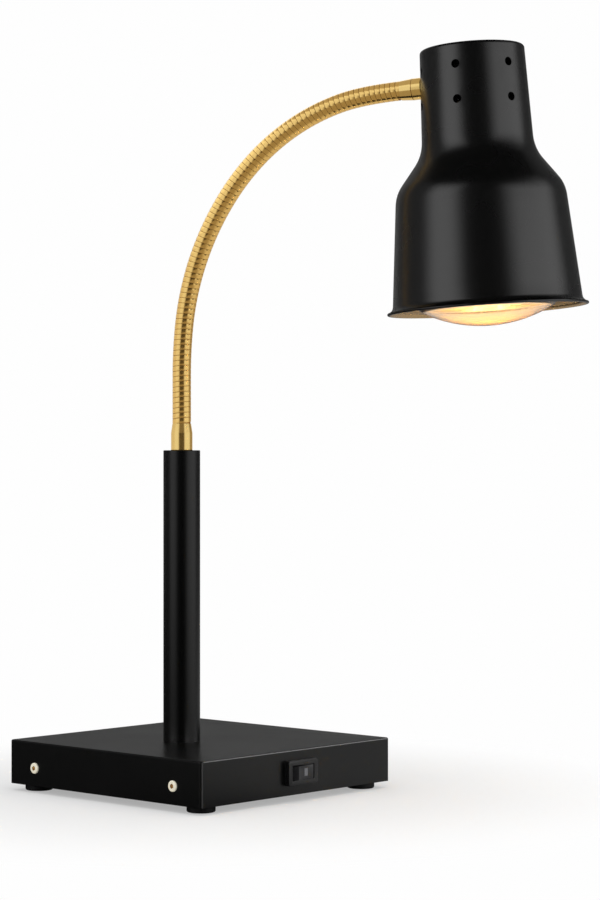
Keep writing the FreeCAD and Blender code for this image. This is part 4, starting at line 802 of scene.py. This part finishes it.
# ---- Lamp holder ------------------------------------------------------------------------------
# A glazed steatite holder with a drawn brass sleeve hangs under its bent bracket in the shade's neck,
# held by two screws.

# Fired glaze on a dense white body: smooth, with a clear highlight.
glaze = fine_finish("glazed_steatite", "#e6e2d8", roughness=0.18)
dress(glaze, "lamp_holder")
dress(contact, "holder_sleeve", "holder_contact")
dress(zinc, "holder_bracket", "holder_screws")

# ---- Bulb -------------------------------------------------------------------------------------
# A blown reflector bulb: a clear face, a bowl silvered inside, a nickelled screw cap, and a coiled
# tungsten filament on a glass stem. It is lit, so the filament glows and warms all round it.

# Nickel plate on brass: a warm, slightly soft mirror.
nickel = fine_finish("nickelled_cap", "#c6c2b8", roughness=0.22, metallic=1.0)
dress(nickel, "bulb_cap")
dress(contact, "bulb_tip")
# Black glass fused into the cap, as glossy as a bead.
vitrite = fine_finish("black_vitreous_insulator", "#0c0c10", roughness=0.15)
dress(vitrite, "bulb_insulator")

# Clear blown glass: almost without colour face on. Where the eye grazes along its wall it turns dark amber:
# a painted dark outline at the glass's edge.
glass, tree = new_material("clear_blown_glass")
slant = add(tree, "ShaderNodeLayerWeight", Blend=0.5)
edge = add(tree, "ShaderNodeMapRange", _0=slant.outputs["Facing"], From_Min=0.72, From_Max=0.9)
tint = add(tree, "ShaderNodeMix", {"data_type": "RGBA"}, Factor=edge.outputs[0], _6=colour("#fff3e4"),
           _7=colour("#6e4a2a"))
clear = add(tree, "ShaderNodeBsdfPrincipled", Base_Color=tint.outputs[2], Roughness=0.02, IOR=1.47,
            Transmission_Weight=1.0)
add(tree, "ShaderNodeOutputMaterial", Surface=clear.outputs[0])
# Aluminium vapour on the inside of the bowl: a bright mirror, slightly soft.
silvering = fine_finish("aluminised_bowl", "#f2e6d0", roughness=0.22, metallic=1.0, grain=6.0 * MM,
                        Coat_Weight=1.0, Coat_Roughness=0.03)
# Etched inside, so that a little of the filament's light stays in it, most of it under the filament.
veil_reach = 52 * MM
etched_glass, tree = new_material("etched_inner_glass")
place = add(tree, "ShaderNodeTexCoord")
from_middle = add(tree, "ShaderNodeVectorMath", {"operation": "DISTANCE"}, _0=place.outputs["Object"],
                  _1=tuple(bulb_foot))
veil = add(tree, "ShaderNodeMapRange", {"interpolation_type": "SMOOTHSTEP"},
           _0=from_middle.outputs["Value"], From_Min=0.0, From_Max=veil_reach, To_Min=0.42, To_Max=0.05)
satin = add(tree, "ShaderNodeBsdfPrincipled", Base_Color=colour("#fff0d8"), Roughness=0.03, IOR=1.47,
            Transmission_Weight=1.0)
glow = add(tree, "ShaderNodeBsdfTranslucent", Color=colour("#ffd876"))
both = add(tree, "ShaderNodeMixShader", _0=veil.outputs[0], _1=satin.outputs[0], _2=glow.outputs[0])
add(tree, "ShaderNodeOutputMaterial", Surface=both.outputs[0])


def in_mm(*corners):
    """Corners that are given in millimetres."""
    return [tuple(value * MM for value in corner) for corner in corners]


# The face: a shallow dome that turns up at its edge, clear outside, etched inside, silvered at the side.
wall = 1.2 * MM
face_round = 114 * MM
edge_round = 17.5 * MM
face_foot, edge_foot, widest = in_mm((0, 0), (55.5, 14.4), (62.5, 30))
silver_edge, inner_side = in_mm((53.8, 15.1), (61, 30))
outside = arc(face_foot, edge_foot, face_round, steps=24) + arc(edge_foot, widest, edge_round, steps=12)
inside = [(*inner_side, 2)] + arc(silver_edge, (0, wall), -face_round, steps=24, index=1)
face_outline = outside + [(*widest, 0)] + inside + [(0, wall, 1)]
bulb_face = new_piece("bulb_face", turned("bulb_face", face_outline, [glass, etched_glass, silvering],
                                          head_up, bulb_foot, steps=128))
bulb_face.visible_shadow = False
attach(bulb_face, "head")

# The bowl: it stands a hair off the face, draws in to a throat, and its collar ends inside the cap.
bowl_lift = 0.02 * MM
bowl_round = 120 * MM
throat_round = 70 * MM
collar_radius = 12 * MM
collar_foot = 140 * MM
collar_top = 152 * MM
bowl_top, throat = in_mm((44, 88), (20, 121))
bowl_foot = (widest[0], widest[1] + bowl_lift)
inner_foot = (bowl_foot[0] - wall, bowl_foot[1])
inner_top = (bowl_top[0] - wall, bowl_top[1] - wall / 2)
inner_throat = (throat[0] - wall, throat[1])
outside = arc(bowl_foot, bowl_top, bowl_round, steps=16) + arc(bowl_top, throat, -throat_round, steps=12)
outside += [(*throat, 0), (collar_radius, collar_foot, 0), (collar_radius, collar_top, 0)]
inside = [(collar_radius - wall, collar_top, 0), (collar_radius - wall, collar_foot, 0)]
inside += arc(inner_throat, inner_top, throat_round + wall, steps=12)
inside += arc(inner_top, inner_foot, wall - bowl_round, steps=16) + [(*inner_foot, 0)]
bulb_bowl = new_piece("bulb_bowl", turned("bulb_bowl", outside + inside, [silvering], head_up, bulb_foot,
                                          steps=96))
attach(bulb_bowl, "head")
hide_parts("bulb_glass")
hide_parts("bulb_glass")
dress(glass, "bulb_stem")

# Tungsten at its working heat: it alone lights the bulb, and what is close round it.
hot, tree = new_material("glowing_tungsten")
glow = add(tree, "ShaderNodeBsdfPrincipled", Base_Color=colour("#ffcf80"), Emission_Color=colour("#ffdf98"),
           Emission_Strength=320.0)
add(tree, "ShaderNodeOutputMaterial", Surface=glow.outputs[0])
dress(hot, "bulb_filament")
lit_by_filament = bpy.data.collections.new("lit_by_filament")
for piece in (bulb_face, bulb_bowl, shade, nodes["bulb_stem"], nodes["filament_leads"], nodes["bulb_cap"]):
    lit_by_filament.objects.link(piece)
nodes["bulb_filament"].light_linking.receiver_collection = lit_by_filament
# Drawn nickel, dull from the flame that sealed it in.
wire = fine_finish("nickel_wire", "#a8a49c", roughness=0.35, metallic=1.0)
dress(wire, "filament_leads")
